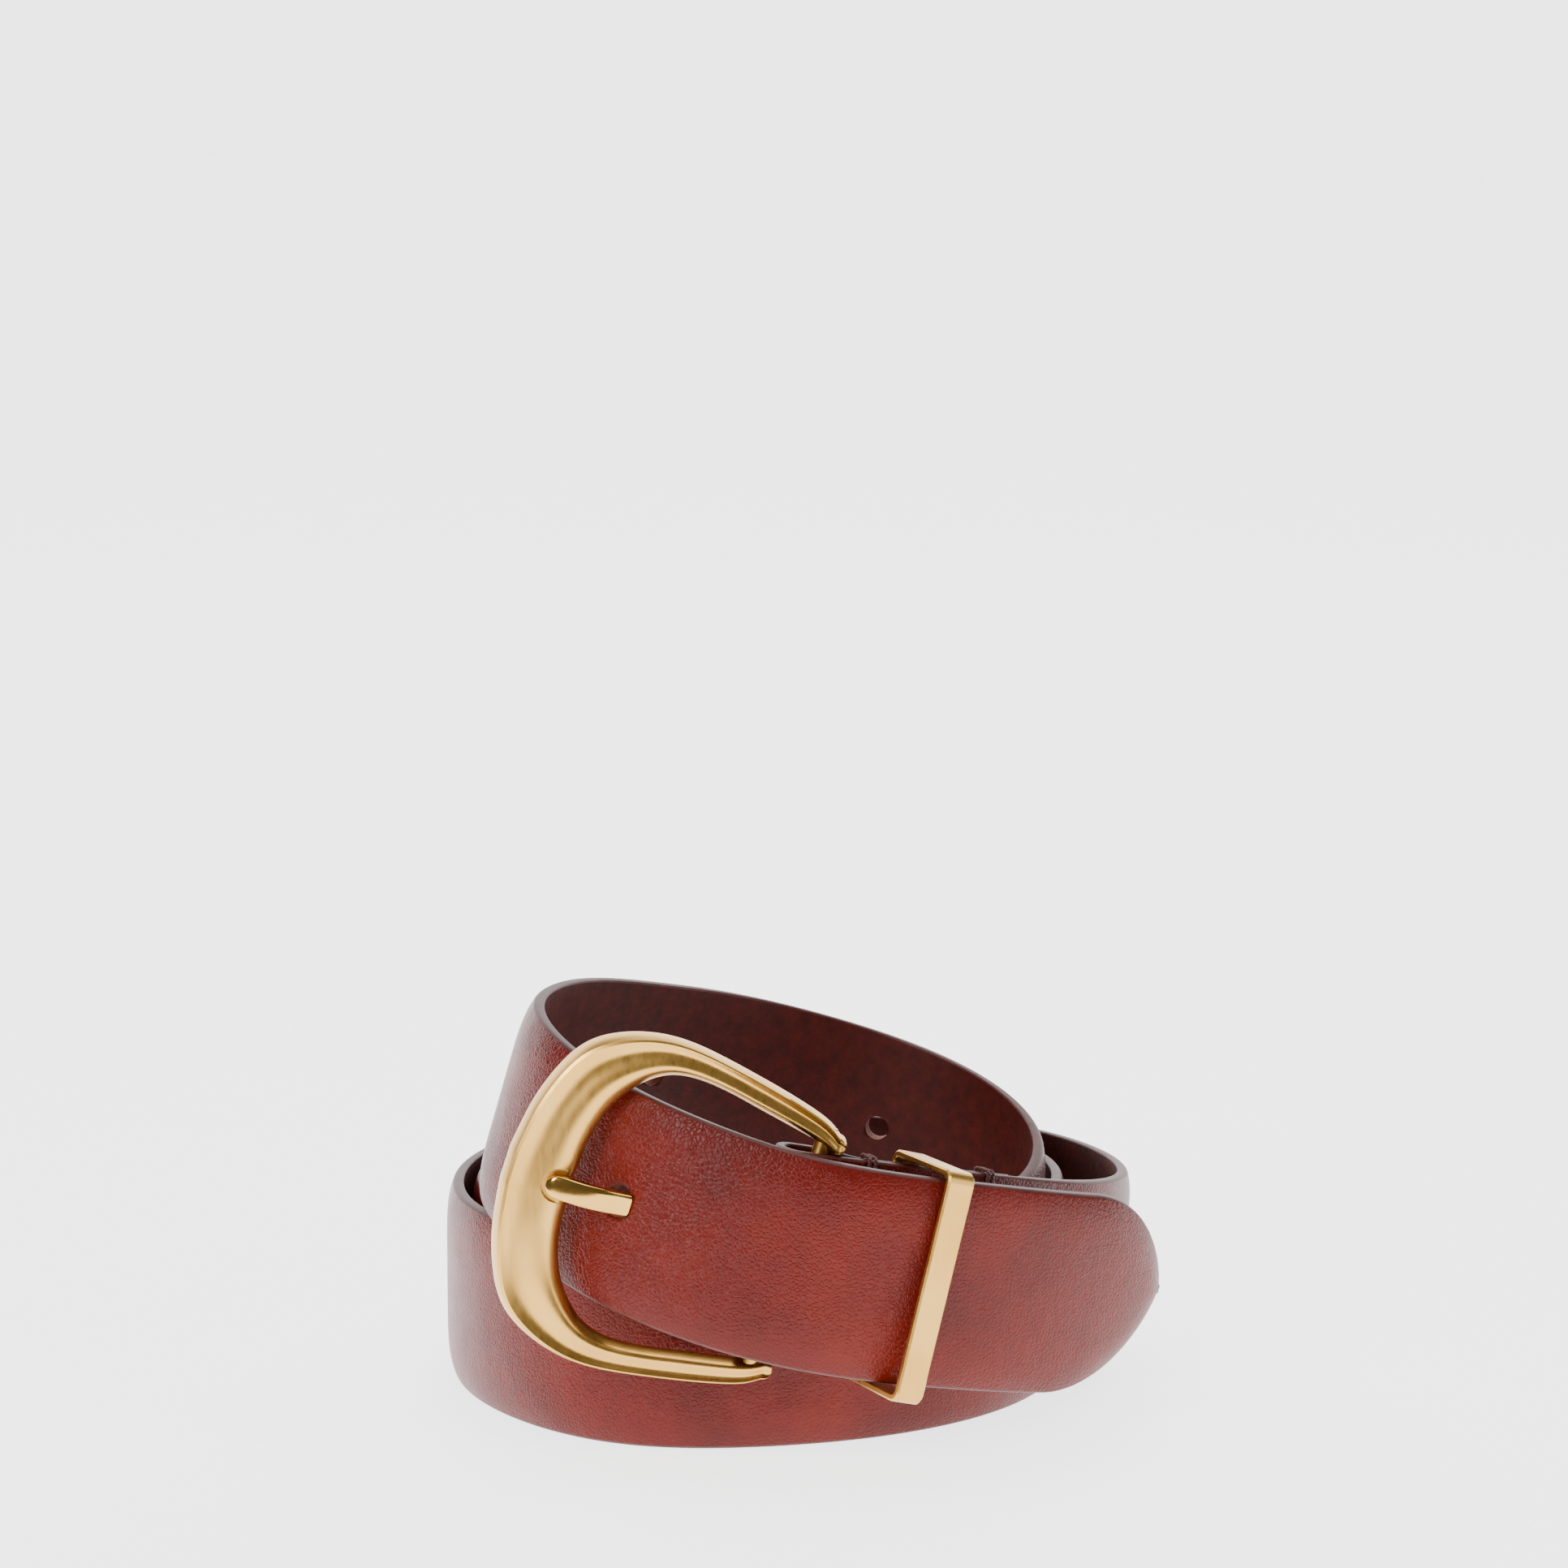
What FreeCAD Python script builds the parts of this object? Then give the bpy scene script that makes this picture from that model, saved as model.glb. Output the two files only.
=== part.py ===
# Leather belt, fastened and rolled into a standing coil.
# Millimetres. The coil stands on z = 0 and the buckle faces -Y.
import FreeCAD, Part
import math, os

os.makedirs("parts", exist_ok=True)
doc = FreeCAD.newDocument("leather_belt")
Vec = FreeCAD.Vector

# ---------------------------------------------------------------- sizes
SIZES = [
    ("strap_width", 40.0, "across the strap"),
    ("edge_thickness", 2.0, "skin and lining at the painted edge"),
    ("crown_height", 1.6, "what the filler adds in the middle"),
    ("lining_thickness", 0.7, "inside layer"),
    ("glue_line", 0.03, "gap between two glued layers"),
    ("turn_gap", 0.3, "air between neighbouring turns of the coil"),
    ("coil_radius_scale", 1.0, "size of the coil's turns"),
    ("tip_length", 28.0, "from the tip's shoulders to its point"),
    ("hole_radius", 2.5, "punched hole"),
    ("prong_hole_radius", 3.1, "the hole in use, stretched by the prong"),
    ("hole_pitch", 27.8, "from hole to hole along the strap"),
    ("hole_count", 7.0, "punched holes"),
    ("flap_length", 46.0, "strap folded back behind the bar"),
    ("ply_gap", 0.15, "air between the strap and the folded flap"),
    ("eye_play", 0.95, "between the bar and the fold round it"),
    ("bar_radius", 1.75, "buckle bar"),
    ("bar_clearance", 0.1, "bar in its sockets"),
    ("prong_clearance", 0.2, "prong eye on the bar"),
    ("frame_reach", 55.5, "from the bar to the frame's closed end"),
    ("frame_side_room", 12.0, "from the strap's edge to the frame's widest point"),
    ("frame_end_width", 12.8, "width of the closed end"),
    ("frame_arm_width", 4.7, "width of an arm"),
    ("frame_back", 2.0, "frame below the bar's axis plane"),
    ("frame_crown", 2.7, "frame above the bar's axis plane"),
    ("prong_width", 4.6, "across the prong"),
    ("prong_thickness", 2.6, "through the prong"),
    ("prong_room", 0.25, "round the prong where it passes through the strap"),
    ("prong_reach", 46.8, "from the bar's axis to the prong's end"),
    ("notch_clearance", 1.0, "round the prong's end in its seat"),
    ("keeper_width", 8.0, "along the strap"),
    ("keeper_wall", 1.3, "keeper plate"),
    ("keeper_clearance", 0.8, "between the keeper and what it holds"),
    ("thread_radius", 0.42, "sewing thread"),
    ("thread_inset", 3.6, "from the strap's edge to the stitch hole"),
    ("foot_flat", 0.06, "pressed flat on the lower edge where the coil stands"),
]
sheet = doc.addObject("Spreadsheet::Sheet", "Sizes")
for row, (alias, number, note) in enumerate(SIZES, start=1):
    sheet.set("A%d" % row, alias)
    sheet.set("B%d" % row, str(number))
    sheet.set("C%d" % row, note)
    sheet.setAlias("B%d" % row, alias)
doc.recompute()


def size(alias):
    return float(getattr(sheet, alias))


W = size("strap_width")
EDGE = size("edge_thickness")
CROWN = size("crown_height")
LINING = size("lining_thickness")
GLUE = size("glue_line")
SKIN = EDGE - LINING
FULL = EDGE + CROWN
EYE = size("bar_radius") + size("eye_play")
FIRST_ANGLE = 5.5      # where the strap leaves the bar
EYE_SHIFT = 1.9        # the fold's end lies this far past the bar
EYE_RUN = 3.5          # the fold stays open this far behind the bar
EYE_PINCH = 10.5       # and is closed here
SHOULDER_ANGLE = 1128.0

# ---------------------------------------------------------------- the coil's line
# Turning angle, inner radius on the net coil, lift of the lower edge, lean of the strap.
# The angle counts on from the bar at the front; a lean above zero tips the top outwards.
# The net radius leaves out the leather of the turns wound inside it.
STATIONS = [
    (0, 56.6, 22.0, 1.0), (45, 51.0, 11.0, 4.0), (90, 59.5, 2.0, 7.5), (135, 65.3, 0.0, 0.0),
    (180, 61.0, 0.0, 0.0), (225, 56.8, 0.0, 0.0), (270, 51.0, 0.0, 0.0), (310, 49.3, 0.1, 2.0),
    (335, 47.8, 0.1, -2.5), (360, 45.0, 0.1, 0.5), (405, 45.3, 0.0, 1.0), (450, 52.4, 0.0, 0.3),
    (495, 59.0, 0.0, 0.0), (540, 59.5, 0.0, 0.0), (585, 55.4, 0.0, 0.0), (630, 49.8, 0.0, 0.0),
    (675, 43.5, 0.0, 0.0), (720, 38.3, 0.1, 1.5), (765, 40.3, 1.0, 9.0), (810, 50.0, 6.0, 8.0),
    (855, 50.2, 17.5, 2.0), (900, 38.6, 29.5, -6.0), (945, 33.5, 37.8, -16.5), (975, 37.8, 41.3, -17.0),
    (1000, 45.1, 42.6, -16.3), (1020, 53.4, 41.6, -15.8), (1035, 58.9, 38.4, -13.3), (1050, 63.7, 33.7, -11.5),
    (1065, 68.5, 28.5, -9.3), (1080, 71.7, 22.9, -2.3), (1110, 76.6, 15.1, 6.3), (1140, 82.0, 7.8, 12.0),
    (1170, 92.0, 3.5, 6.0),
]


class Curve:
    """Smooth curve through chosen points, with a straight run-out at both ends."""

    def __init__(self, xs, ys):
        n = len(xs)
        self.xs = xs
        self.ys = ys
        h = [xs[i + 1] - xs[i] for i in range(n - 1)]
        low, diag, high, right = [0.0] * n, [1.0] * n, [0.0] * n, [0.0] * n
        for i in range(1, n - 1):
            low[i] = h[i - 1]
            diag[i] = 2.0 * (h[i - 1] + h[i])
            high[i] = h[i]
            right[i] = 6.0 * ((ys[i + 1] - ys[i]) / h[i] - (ys[i] - ys[i - 1]) / h[i - 1])
        for i in range(1, n):
            f = low[i] / diag[i - 1]
            diag[i] -= f * high[i - 1]
            right[i] -= f * right[i - 1]
        m = [0.0] * n
        for i in range(n - 2, 0, -1):
            m[i] = (right[i] - high[i] * m[i + 1]) / diag[i]
        self.m = m

    def at(self, x):
        xs = self.xs
        i = 0
        while i < len(xs) - 2 and x > xs[i + 1]:
            i += 1
        h = xs[i + 1] - xs[i]
        a = (xs[i + 1] - x) / h
        b = (x - xs[i]) / h
        bend = ((a ** 3 - a) * self.m[i] + (b ** 3 - b) * self.m[i + 1]) * h * h / 6.0
        return a * self.ys[i] + b * self.ys[i + 1] + bend


PITCH = FULL + size("turn_gap")
SCALE = size("coil_radius_scale")
angles = [float(s[0]) for s in STATIONS]
radius_line = Curve(angles, [s[1] * SCALE + PITCH * (3.0 - s[0] / 360.0) for s in STATIONS])
lift_line = Curve(angles, [float(s[2]) for s in STATIONS])
lean_line = Curve(angles, [float(s[3]) for s in STATIONS])


def centre(angle):
    """Point on the strap's inner face, half way up the strap."""
    a = math.radians(angle)
    r = radius_line.at(angle)
    z = lift_line.at(angle) + 0.5 * W * math.cos(math.radians(lean_line.at(angle)))
    return Vec(r * math.sin(a), -r * math.cos(a), z)


def across(vector, normal):
    return vector - normal * vector.dot(normal)


class Section:
    """Place across the strap: point, direction along, direction up, outward normal."""

    def __init__(self, point, along, up, out):
        self.point = point
        self.along = along
        self.up = up
        self.out = out

    def at(self, side, off):
        """side runs from -0.5 at the lower edge to 0.5 at the upper; off is the distance outwards."""
        return self.point + self.up * (side * W) + self.out * off


def section(angle):
    step = 0.05
    along = centre(angle + step) - centre(angle - step)
    along.normalize()
    flat_out = Vec(along.y, -along.x, 0.0)
    flat_out.normalize()
    flat_up = flat_out.cross(along)
    lean = math.radians(lean_line.at(angle))
    up = flat_up * math.cos(lean) + flat_out * math.sin(lean)
    out = flat_out * math.cos(lean) - flat_up * math.sin(lean)
    return Section(centre(angle), along, up, out)


def run_table(first, last, step):
    """Length of the strap's middle layer against turning angle."""
    table = [(first, 0.0)]
    a, total = first, 0.0
    while a < last:
        b = min(a + step, last)
        s0, s1 = section(a), section(b)
        total += ((s1.point + s1.out) - (s0.point + s0.out)).Length
        table.append((b, total))
        a = b
    return table


RUN = run_table(FIRST_ANGLE, 1170.0, 1.5)


def run_at(angle):
    for (a0, l0), (a1, l1) in zip(RUN, RUN[1:]):
        if angle <= a1:
            return l0 + (l1 - l0) * (angle - a0) / (a1 - a0)
    return RUN[-1][1]


def angle_at(length):
    for (a0, l0), (a1, l1) in zip(RUN, RUN[1:]):
        if length <= l1:
            return a0 + (a1 - a0) * (length - l0) / (l1 - l0)
    return RUN[-1][0]


FLAP_END = angle_at(size("flap_length"))
LAYER_START = angle_at(size("flap_length") + 2.0)
SHOULDER = SHOULDER_ANGLE
TIP_END = angle_at(run_at(SHOULDER) + size("tip_length"))


def smooth(t):
    t = max(0.0, min(1.0, t))
    return t * t * (3.0 - 2.0 * t)


def half_share(angle):
    """Half width at this angle as a share of the full half width: less than 1 only in the tip."""
    if angle <= SHOULDER:
        return 1.0
    t = (run_at(angle) - run_at(SHOULDER)) / size("tip_length")
    return max(0.05, (1.0 - t ** 1.9) ** 0.72 if t < 1.0 else 0.0)


def crown_share(angle):
    """Share of the crown: none where the strap is folded double, less towards the point."""
    start = smooth((run_at(angle) - run_at(LAYER_START)) / 25.0)
    return start * (0.25 + 0.75 * smooth((half_share(angle) - 0.3) / 0.6))


# ---------------------------------------------------------------- surfaces
def clamped_knots(count, degree):
    spans = count - degree
    return [float(i) for i in range(spans + 1)], [degree + 1] + [1] * (spans - 1) + [degree + 1]


def net_edge(points, degree):
    """Edge over control points, from one side of a ring to the other."""
    if degree == 1 and len(points) == 2:
        return Part.makeLine(points[0], points[1])
    curve = Part.BSplineCurve()
    knots, mults = clamped_knots(len(points), degree)
    curve.buildFromPolesMultsKnots(points, mults, knots, False, degree)
    return curve.toShape()


def spacing(rings):
    """Parameters for a run of rings, from the distance between their middles."""
    def middle(ring):
        points = [q for side, _ in ring for q in side]
        total = Vec(0, 0, 0)
        for q in points:
            total = total + q
        return total * (1.0 / len(points))

    mids = [middle(ring) for ring in rings]
    out = [0.0]
    for p, q in zip(mids, mids[1:]):
        out.append(out[-1] + max((q - p).Length, 0.2))
    return out


def net_face(rows, degree, params):
    """Surface through rows of control points: cubic and exact along the run, given degree within a row."""
    rails = []
    for column in range(len(rows[0])):
        rail = Part.BSplineCurve()
        rail.interpolate(Points=[row[column] for row in rows], Parameters=params)
        rails.append(rail)
    knots, mults = rails[0].getKnots(), rails[0].getMultiplicities()
    poles = [list(column) for column in zip(*[rail.getPoles() for rail in rails])]
    kv, mv = clamped_knots(len(rows[0]), degree)
    surface = Part.BSplineSurface()
    surface.buildFromPolesMultsKnots(poles, mults, mv, knots, kv, False, False, rails[0].Degree, degree)
    return surface.toShape()


def net_solid(rings):
    """Solid through rings. A ring is a list of (points, degree) sides, each starting where the last ends."""
    params = spacing(rings)
    faces = []
    for side in range(len(rings[0])):
        faces.append(net_face([ring[side][0] for ring in rings], rings[0][side][1], params))
    for ring in (rings[0], rings[-1]):
        wire = Part.Wire([net_edge(points, degree) for points, degree in ring])
        faces.append(Part.Face(wire))
    shell = Part.makeShell(faces)
    shell.sewShape()
    solid = Part.makeSolid(shell)
    if solid.Volume < 0:
        solid.reverse()
    return solid


def piece(label, shape):
    """Document object for a shape that no feature makes."""
    obj = doc.addObject("Part::Feature", label)
    obj.Label = label
    obj.Shape = shape
    return obj


# ---------------------------------------------------------------- strap layers
SIDES = [-0.5, -0.47, -0.4, -0.22, 0.0, 0.22, 0.4, 0.47, 0.5]


def rise(side, share):
    return CROWN * share * (1.0 - abs(2.0 * side) ** 6)


def core_points():
    """Places across the strap and heights, in shares, that lie on the skin's own crown line."""
    curve = Part.BSplineCurve()
    knots, mults = clamped_knots(len(SIDES), 3)
    curve.buildFromPolesMultsKnots([Vec(q, rise(q, 1.0), 0) for q in SIDES], mults, knots, False, 3)
    last = curve.LastParameter
    values = [curve.value(last * (0.09 + 0.82 * i / 12.0)) for i in range(13)]
    return [(q.x, q.y) for q in values]


CORE = core_points()


def layer_ring(place, sides, width_share, low, high):
    """One ring of a layer between the heights low(side) and high(side)."""
    under = [place.at(q * width_share, low(q)) for q in sides]
    over = [place.at(q * width_share, high(q)) for q in reversed(sides)]
    return [(under, 3), ([under[-1], over[0]], 1), (over, 3), ([over[-1], under[0]], 1)]


def core_ring(place, crown, width_share, sink):
    """One ring of the filler. sink lowers its top, so that the filler's ends stay clear of the skin."""
    under = [place.at(q * width_share, LINING) for q, _ in CORE]
    over = [place.at(q * width_share, LINING + max(crown * height - GLUE - sink, 0.02)) for q, height in reversed(CORE)]
    return [(under, 1), ([under[-1], over[0]], 1), (over, 1), ([over[-1], under[0]], 1)]


def skin_ring(place, crown, width_share):
    return layer_ring(place, SIDES, width_share,
                      lambda s: LINING + rise(s, crown), lambda s: EDGE + rise(s, crown))


def fold_places():
    """Places along the flap and round the bar, from the flap's end to the strap's first angle."""
    places = []
    gap = size("ply_gap")
    a = FLAP_END
    first = section(FIRST_ANGLE)
    steps = 26
    for i in range(steps + 1):
        length = size("flap_length") * (1.0 - i / steps) ** 1.2
        angle = angle_at(length)
        s = section(angle)
        closing = smooth((length - EYE_RUN) / (EYE_PINCH - EYE_RUN))
        opening = 2.0 * EYE + (gap - 2.0 * EYE) * closing
        point = s.point + s.out * (2.0 * LINING - opening)
        places.append(Section(point, -s.along, s.up, -s.out))
    turn = 12
    end = first.point - first.along * EYE_SHIFT + first.out * (LINING - EYE)
    for i in range(turn + 1):
        a = math.pi * (1.0 - i / turn)
        out = first.out * math.cos(a) - first.along * math.sin(a)
        point = end + out * (EYE - LINING)
        places.append(Section(point, first.along, first.up, out))
    return places


def strap_angles(first, last):
    """Evenly spaced angles, closer together in the tip."""
    stop = min(last, SHOULDER)
    count = int(math.ceil((stop - first) / 4.0))
    out = [first + (stop - first) * i / count for i in range(count + 1)]
    if last > SHOULDER:
        base = run_at(SHOULDER)
        reach = run_at(last) - base
        for share in (0.1, 0.22, 0.35, 0.48, 0.6, 0.71, 0.8, 0.87, 0.92, 0.96, 0.985, 1.0):
            out.append(angle_at(base + reach * share))
    return out


def awl(place, side, radius):
    """Cutter through the strap at a place."""
    start = place.at(side, -2.0)
    return Part.makeCylinder(radius, FULL + 4.0, start, place.out)


HOLE_ZERO = run_at(1060.0)
hole_angles = [angle_at(HOLE_ZERO - i * size("hole_pitch")) for i in range(int(size("hole_count")))]
punches = []
for i, a in enumerate(hole_angles):
    punches.append(awl(section(a), 0.0, size("prong_hole_radius") if i == 0 else size("hole_radius")))

rings = [skin_ring(p, 0.0, 1.0) for p in fold_places()]
for a in strap_angles(FIRST_ANGLE + 2.0, TIP_END):
    rings.append(skin_ring(section(a), crown_share(a), half_share(a)))
skin_shape = net_solid(rings)

rings = []
for a in strap_angles(LAYER_START, TIP_END):
    rings.append(layer_ring(section(a), SIDES, half_share(a), lambda s: 0.0, lambda s: LINING - GLUE))
lining_shape = net_solid(rings)

core_start = angle_at(run_at(LAYER_START) + 12.0)
core_end = angle_at(run_at(SHOULDER) + 0.35 * size("tip_length"))
core_angles = strap_angles(core_start, SHOULDER)
core_angles += [angle_at(run_at(SHOULDER) + share * size("tip_length")) for share in (0.1, 0.22)] + [core_end]
rings = []
for i, a in enumerate(core_angles):
    near_end = min(i, len(core_angles) - 1 - i)
    rings.append(core_ring(section(a), crown_share(a), half_share(a), 0.08 if near_end < 2 else 0.0))
core_shape = net_solid(rings)

# ---------------------------------------------------------------- buckle place
BUCKLE_YAW = -16.5     # the frame swings in towards the strap it holds
BUCKLE_ROLL = 6.5      # and sits a little askew in the fold
BAR_DEPTH = 2.0        # bar's axis below the strap's inner face


def buckle_axes():
    first = section(FIRST_ANGLE)
    yaw, roll = math.radians(BUCKLE_YAW), math.radians(BUCKLE_ROLL)
    reach = first.along * (-math.cos(yaw)) + first.out * math.sin(yaw)
    front = first.out * math.cos(yaw) + first.along * math.sin(yaw)
    x = reach * math.cos(roll) + first.up * math.sin(roll)
    y = first.up * math.cos(roll) - reach * math.sin(roll)
    return first.point - first.out * BAR_DEPTH, x, y, front


BAR_POINT, BX, BY, BN = buckle_axes()


def on_buckle(x, y, n):
    """Point at x towards the closed end, y up along the bar, n to the front."""
    return BAR_POINT + BX * x + BY * y + BN * n


def buckle_placement():
    """Placement whose X, Y, Z are the buckle's."""
    turn = FreeCAD.Rotation(BX, BY, BN, "XYZ")
    return FreeCAD.Placement(BAR_POINT, turn)


# ---------------------------------------------------------------- frame
REACH = size("frame_reach")
HALF = 0.5 * W + size("frame_side_room")
END_W = size("frame_end_width")
ARM_W = size("frame_arm_width")
BACK = size("frame_back")
TOP = size("frame_crown")
ARM_BACK = 3.9         # arm runs on this far past the bar

# Half of the outer line, from the arm's end to the closed end: place along the frame, height as a
# share of the half height, width as a share of the way from arm to closed end, heading across.
FRAME_LINE = [
    (-ARM_BACK, 0.74, -0.4, 90.0), (-0.75 * ARM_BACK, 0.768, -0.3, 90.0), (-1.0, 0.795, -0.2, 90.0),
    (2.0, 0.835, -0.1, 90.0), (0.145 * REACH, 0.887, -0.02, 91.0), (0.25 * REACH, 0.927, 0.0, 92.0),
    (0.37 * REACH, 0.967, 0.01, 92.0), (0.505 * REACH, 1.0, 0.11, 86.0), (0.632 * REACH, 0.993, 0.34, 74.0),
    (0.755 * REACH, 0.931, 0.68, 62.0), (0.86 * REACH, 0.81, 0.94, 50.0), (0.927 * REACH, 0.622, 1.0, 38.0),
    (0.967 * REACH, 0.42, 1.0, 26.0), (0.985 * REACH, 0.256, 1.0, 16.0), (0.997 * REACH, 0.1, 1.0, 6.0),
]


def frame_ring(x, y, share, heading):
    """Section of the frame: a low dome to the front, a flat back, rounded rims."""
    width = ARM_W + (END_W - ARM_W) * share
    a = math.radians(heading)
    sign = 1.0 if y >= 0 else -1.0
    dx, dy = -math.cos(a) * width, -math.sin(a) * width * sign
    end = max(0.0, min(1.0, share))
    thin = 1.0 + 1.2 * min(share, 0.0)
    crest = (TOP - 0.3 * (1.0 - end)) * thin
    inner_top = (0.3 + 0.8 * end) * thin
    outer_top = (0.3 - 0.5 * end) * thin
    back = BACK * thin

    def p(s, n):
        return on_buckle(x + dx * s, y + dy * s, n)

    dome = [p(0.0, outer_top), p(0.01, outer_top + 0.6 * (crest - outer_top)), p(0.24, crest + 0.1),
            p(0.6, crest + 0.25), p(0.92, inner_top + 0.8 * (crest - inner_top)), p(1.0, inner_top)]
    under = [p(1.0, -back + 0.5 * thin), p(0.96, -back), p(0.5, -back), p(0.06, -back), p(0.0, -back + 0.9 * thin)]
    return [(dome, 3), ([dome[-1], under[0]], 1), (under, 3), ([under[-1], dome[0]], 1)]


ring_list = [frame_ring(x, HALF * y, share, heading) for x, y, share, heading in FRAME_LINE]
ring_list += [frame_ring(x, -HALF * y, share, heading) for x, y, share, heading in reversed(FRAME_LINE)]
frame_shape = net_solid(ring_list)

# Prong line: x from the bar, height in front of the bar, both through the prong's middle.
PRONG_Y0 = 0.5         # the prong sits this far above the frame's axis at the bar
PRONG_Y1 = -0.8        # and this far from it at its end
PT = size("prong_thickness")
PW = size("prong_width")
PRONG_END = size("prong_reach")
PRONG_LINE = [
    (1.2, 1.9, 1.0, 1.0), (4.0, 1.5, 1.0, 1.0), (9.0, 0.9, 1.0, 1.0), (15.0, 0.5, 1.0, 1.0), (20.0, 0.4, 1.0, 1.0),
    (24.0, 0.7, 1.0, 1.0), (28.0, 1.9, 1.0, 1.0), (32.0, 3.5, 1.0, 1.0), (36.0, 4.4, 1.0, 1.0),
    (40.0, 4.4, 1.0, 1.0), (PRONG_END - 3.0, 4.0, 1.0, 0.95), (PRONG_END - 1.6, 3.8, 0.93, 0.88),
    (PRONG_END - 0.6, 3.65, 0.72, 0.75), (PRONG_END, 3.55, 0.4, 0.5),
]


def prong_y(x):
    return PRONG_Y0 + (PRONG_Y1 - PRONG_Y0) * x / PRONG_END


def prong_n(x):
    line = Curve([q[0] for q in PRONG_LINE], [q[1] for q in PRONG_LINE])
    return line.at(x)


def prong_ring(x, n, scale_w, scale_t, lift=0.0):
    """Section of the prong. lift moves its front half forwards."""
    c, w, t = prong_y(x), 0.5 * PW * scale_w, 0.5 * PT * scale_t
    m = n + lift
    front = [on_buckle(x, c - w, m), on_buckle(x, c - w, m + 0.95 * t), on_buckle(x, c - 0.55 * w, m + 1.15 * t),
             on_buckle(x, c + 0.55 * w, m + 1.15 * t), on_buckle(x, c + w, m + 0.95 * t), on_buckle(x, c + w, m)]
    rear = [on_buckle(x, c + w, n), on_buckle(x, c + w, n - 0.95 * t), on_buckle(x, c + 0.6 * w, n - t),
            on_buckle(x, c - 0.6 * w, n - t), on_buckle(x, c - w, n - 0.95 * t), on_buckle(x, c - w, n)]
    if lift == 0.0:
        return [(front, 3), (rear, 3)]
    return [(front, 3), ([front[-1], rear[0]], 1), (rear, 3), ([rear[-1], front[0]], 1)]


def prong_space(spare, swing):
    """Room the blade needs in the strap: spare on every side, and a swing outwards in degrees."""
    rings = []
    for x, n, w, t in PRONG_LINE:
        if x > 18.0:
            lift = x * math.tan(math.radians(swing))
            rings.append(prong_ring(x, n, w + 2.0 * spare / PW, t + 2.0 * spare / PT, lift))
    return net_solid(rings)


blade = net_solid([prong_ring(x, n, w, t) for x, n, w, t in PRONG_LINE])
eye_inner = size("bar_radius") + size("prong_clearance")
eye_outer = eye_inner + 1.7
eye_width = PW + 0.6
eye_low = on_buckle(0.0, prong_y(0.0) - 0.5 * eye_width, 0.0)
eye = Part.makeCylinder(eye_outer, eye_width, eye_low, BY)
eye_bore = Part.makeCylinder(eye_inner, eye_width + 40.0, eye_low - BY * 20.0, BY)
prong_shape = blade.fuse(eye).cut(eye_bore).removeSplitter()

# Seat for the prong's end in the closed end.
seat_floor = prong_n(PRONG_END) - 0.5 * PT - 0.25
seat_radius = 0.5 * PW + size("notch_clearance")
seat_x = PRONG_END + size("notch_clearance") - seat_radius
seat_low = on_buckle(seat_x, PRONG_Y1, seat_floor)
seat_pin = Part.makeCylinder(seat_radius, 8.0, seat_low, BN)
seat_box = Part.makeBox(20.0, 2.0 * seat_radius, 8.0)
seat_box.Placement = FreeCAD.Placement(on_buckle(seat_x - 20.0, PRONG_Y1 - seat_radius, seat_floor),
                                       buckle_placement().Rotation)
socket_r = size("bar_radius") + size("bar_clearance")
socket_half = 0.83 * HALF - 1.4
socket = Part.makeCylinder(socket_r, 2.0 * socket_half, on_buckle(0, -socket_half, 0), BY)
frame_shape = frame_shape.cut(seat_pin.fuse(seat_box)).cut(socket)

# ---------------------------------------------------------------- openings in the strap
# Long slot in the fold for the prong's eye.
slot_half = 0.5 * eye_width + 1.0
slot_reach, slot_back = EYE_SHIFT + EYE + SKIN + 2.0, 10.0
slot = Part.makeBox(slot_reach + slot_back, 2.0 * slot_half, 2.0 * (EYE + SKIN) + 3.0)
first_place = section(FIRST_ANGLE)
slot_turn = FreeCAD.Rotation(first_place.along, first_place.up, first_place.out, "XYZ")
slot_corner = (BAR_POINT + BY * prong_y(0.0) - first_place.up * slot_half
               - first_place.along * slot_reach - first_place.out * (EYE + SKIN + 1.5))
slot.Placement = FreeCAD.Placement(slot_corner, slot_turn)

# Stitch holes of the two ties, near both edges.
TIE_RUNS = {"front_tie": 11.5, "rear_tie": 39.0}     # from the bar along the strap
TIE_SPACING = 1.15
THREAD = size("thread_radius")
tie_sides = [0.5 - size("thread_inset") / W, -0.5 + size("thread_inset") / W]
tie_places = {name: [section(angle_at(run + TIE_SPACING * (k - 0.5))) for k in range(2)]
              for name, run in TIE_RUNS.items()}
stitch_holes = []
for places in tie_places.values():
    for place in places:
        for side in tie_sides:
            start = place.at(side, -3.0)
            stitch_holes.append(Part.makeCylinder(THREAD + 0.15, FULL + 4.5, start, place.out))

# Where the prong comes through, the hole is stretched to let it lie flat and move a little.
PRONG_PLAY = 1.5
prong_room = prong_space(size("prong_room"), PRONG_PLAY)

for cutter in punches + [prong_room, slot] + stitch_holes:
    skin_shape = skin_shape.cut(cutter)
for cutter in punches + [prong_room]:
    lining_shape = lining_shape.cut(cutter)
    core_shape = core_shape.cut(cutter)

# The coil stands on its lower edge, which is pressed flat there.
foot_height = skin_shape.optimalBoundingBox(False, False).ZMin + size("foot_flat")
foot_side = 600.0 * SCALE
floor_block = Part.makeBox(foot_side, foot_side, 5.0, Vec(-0.5 * foot_side, -0.5 * foot_side, foot_height - 5.0))
skin_shape = skin_shape.cut(floor_block)
lining_shape = lining_shape.cut(floor_block)


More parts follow.
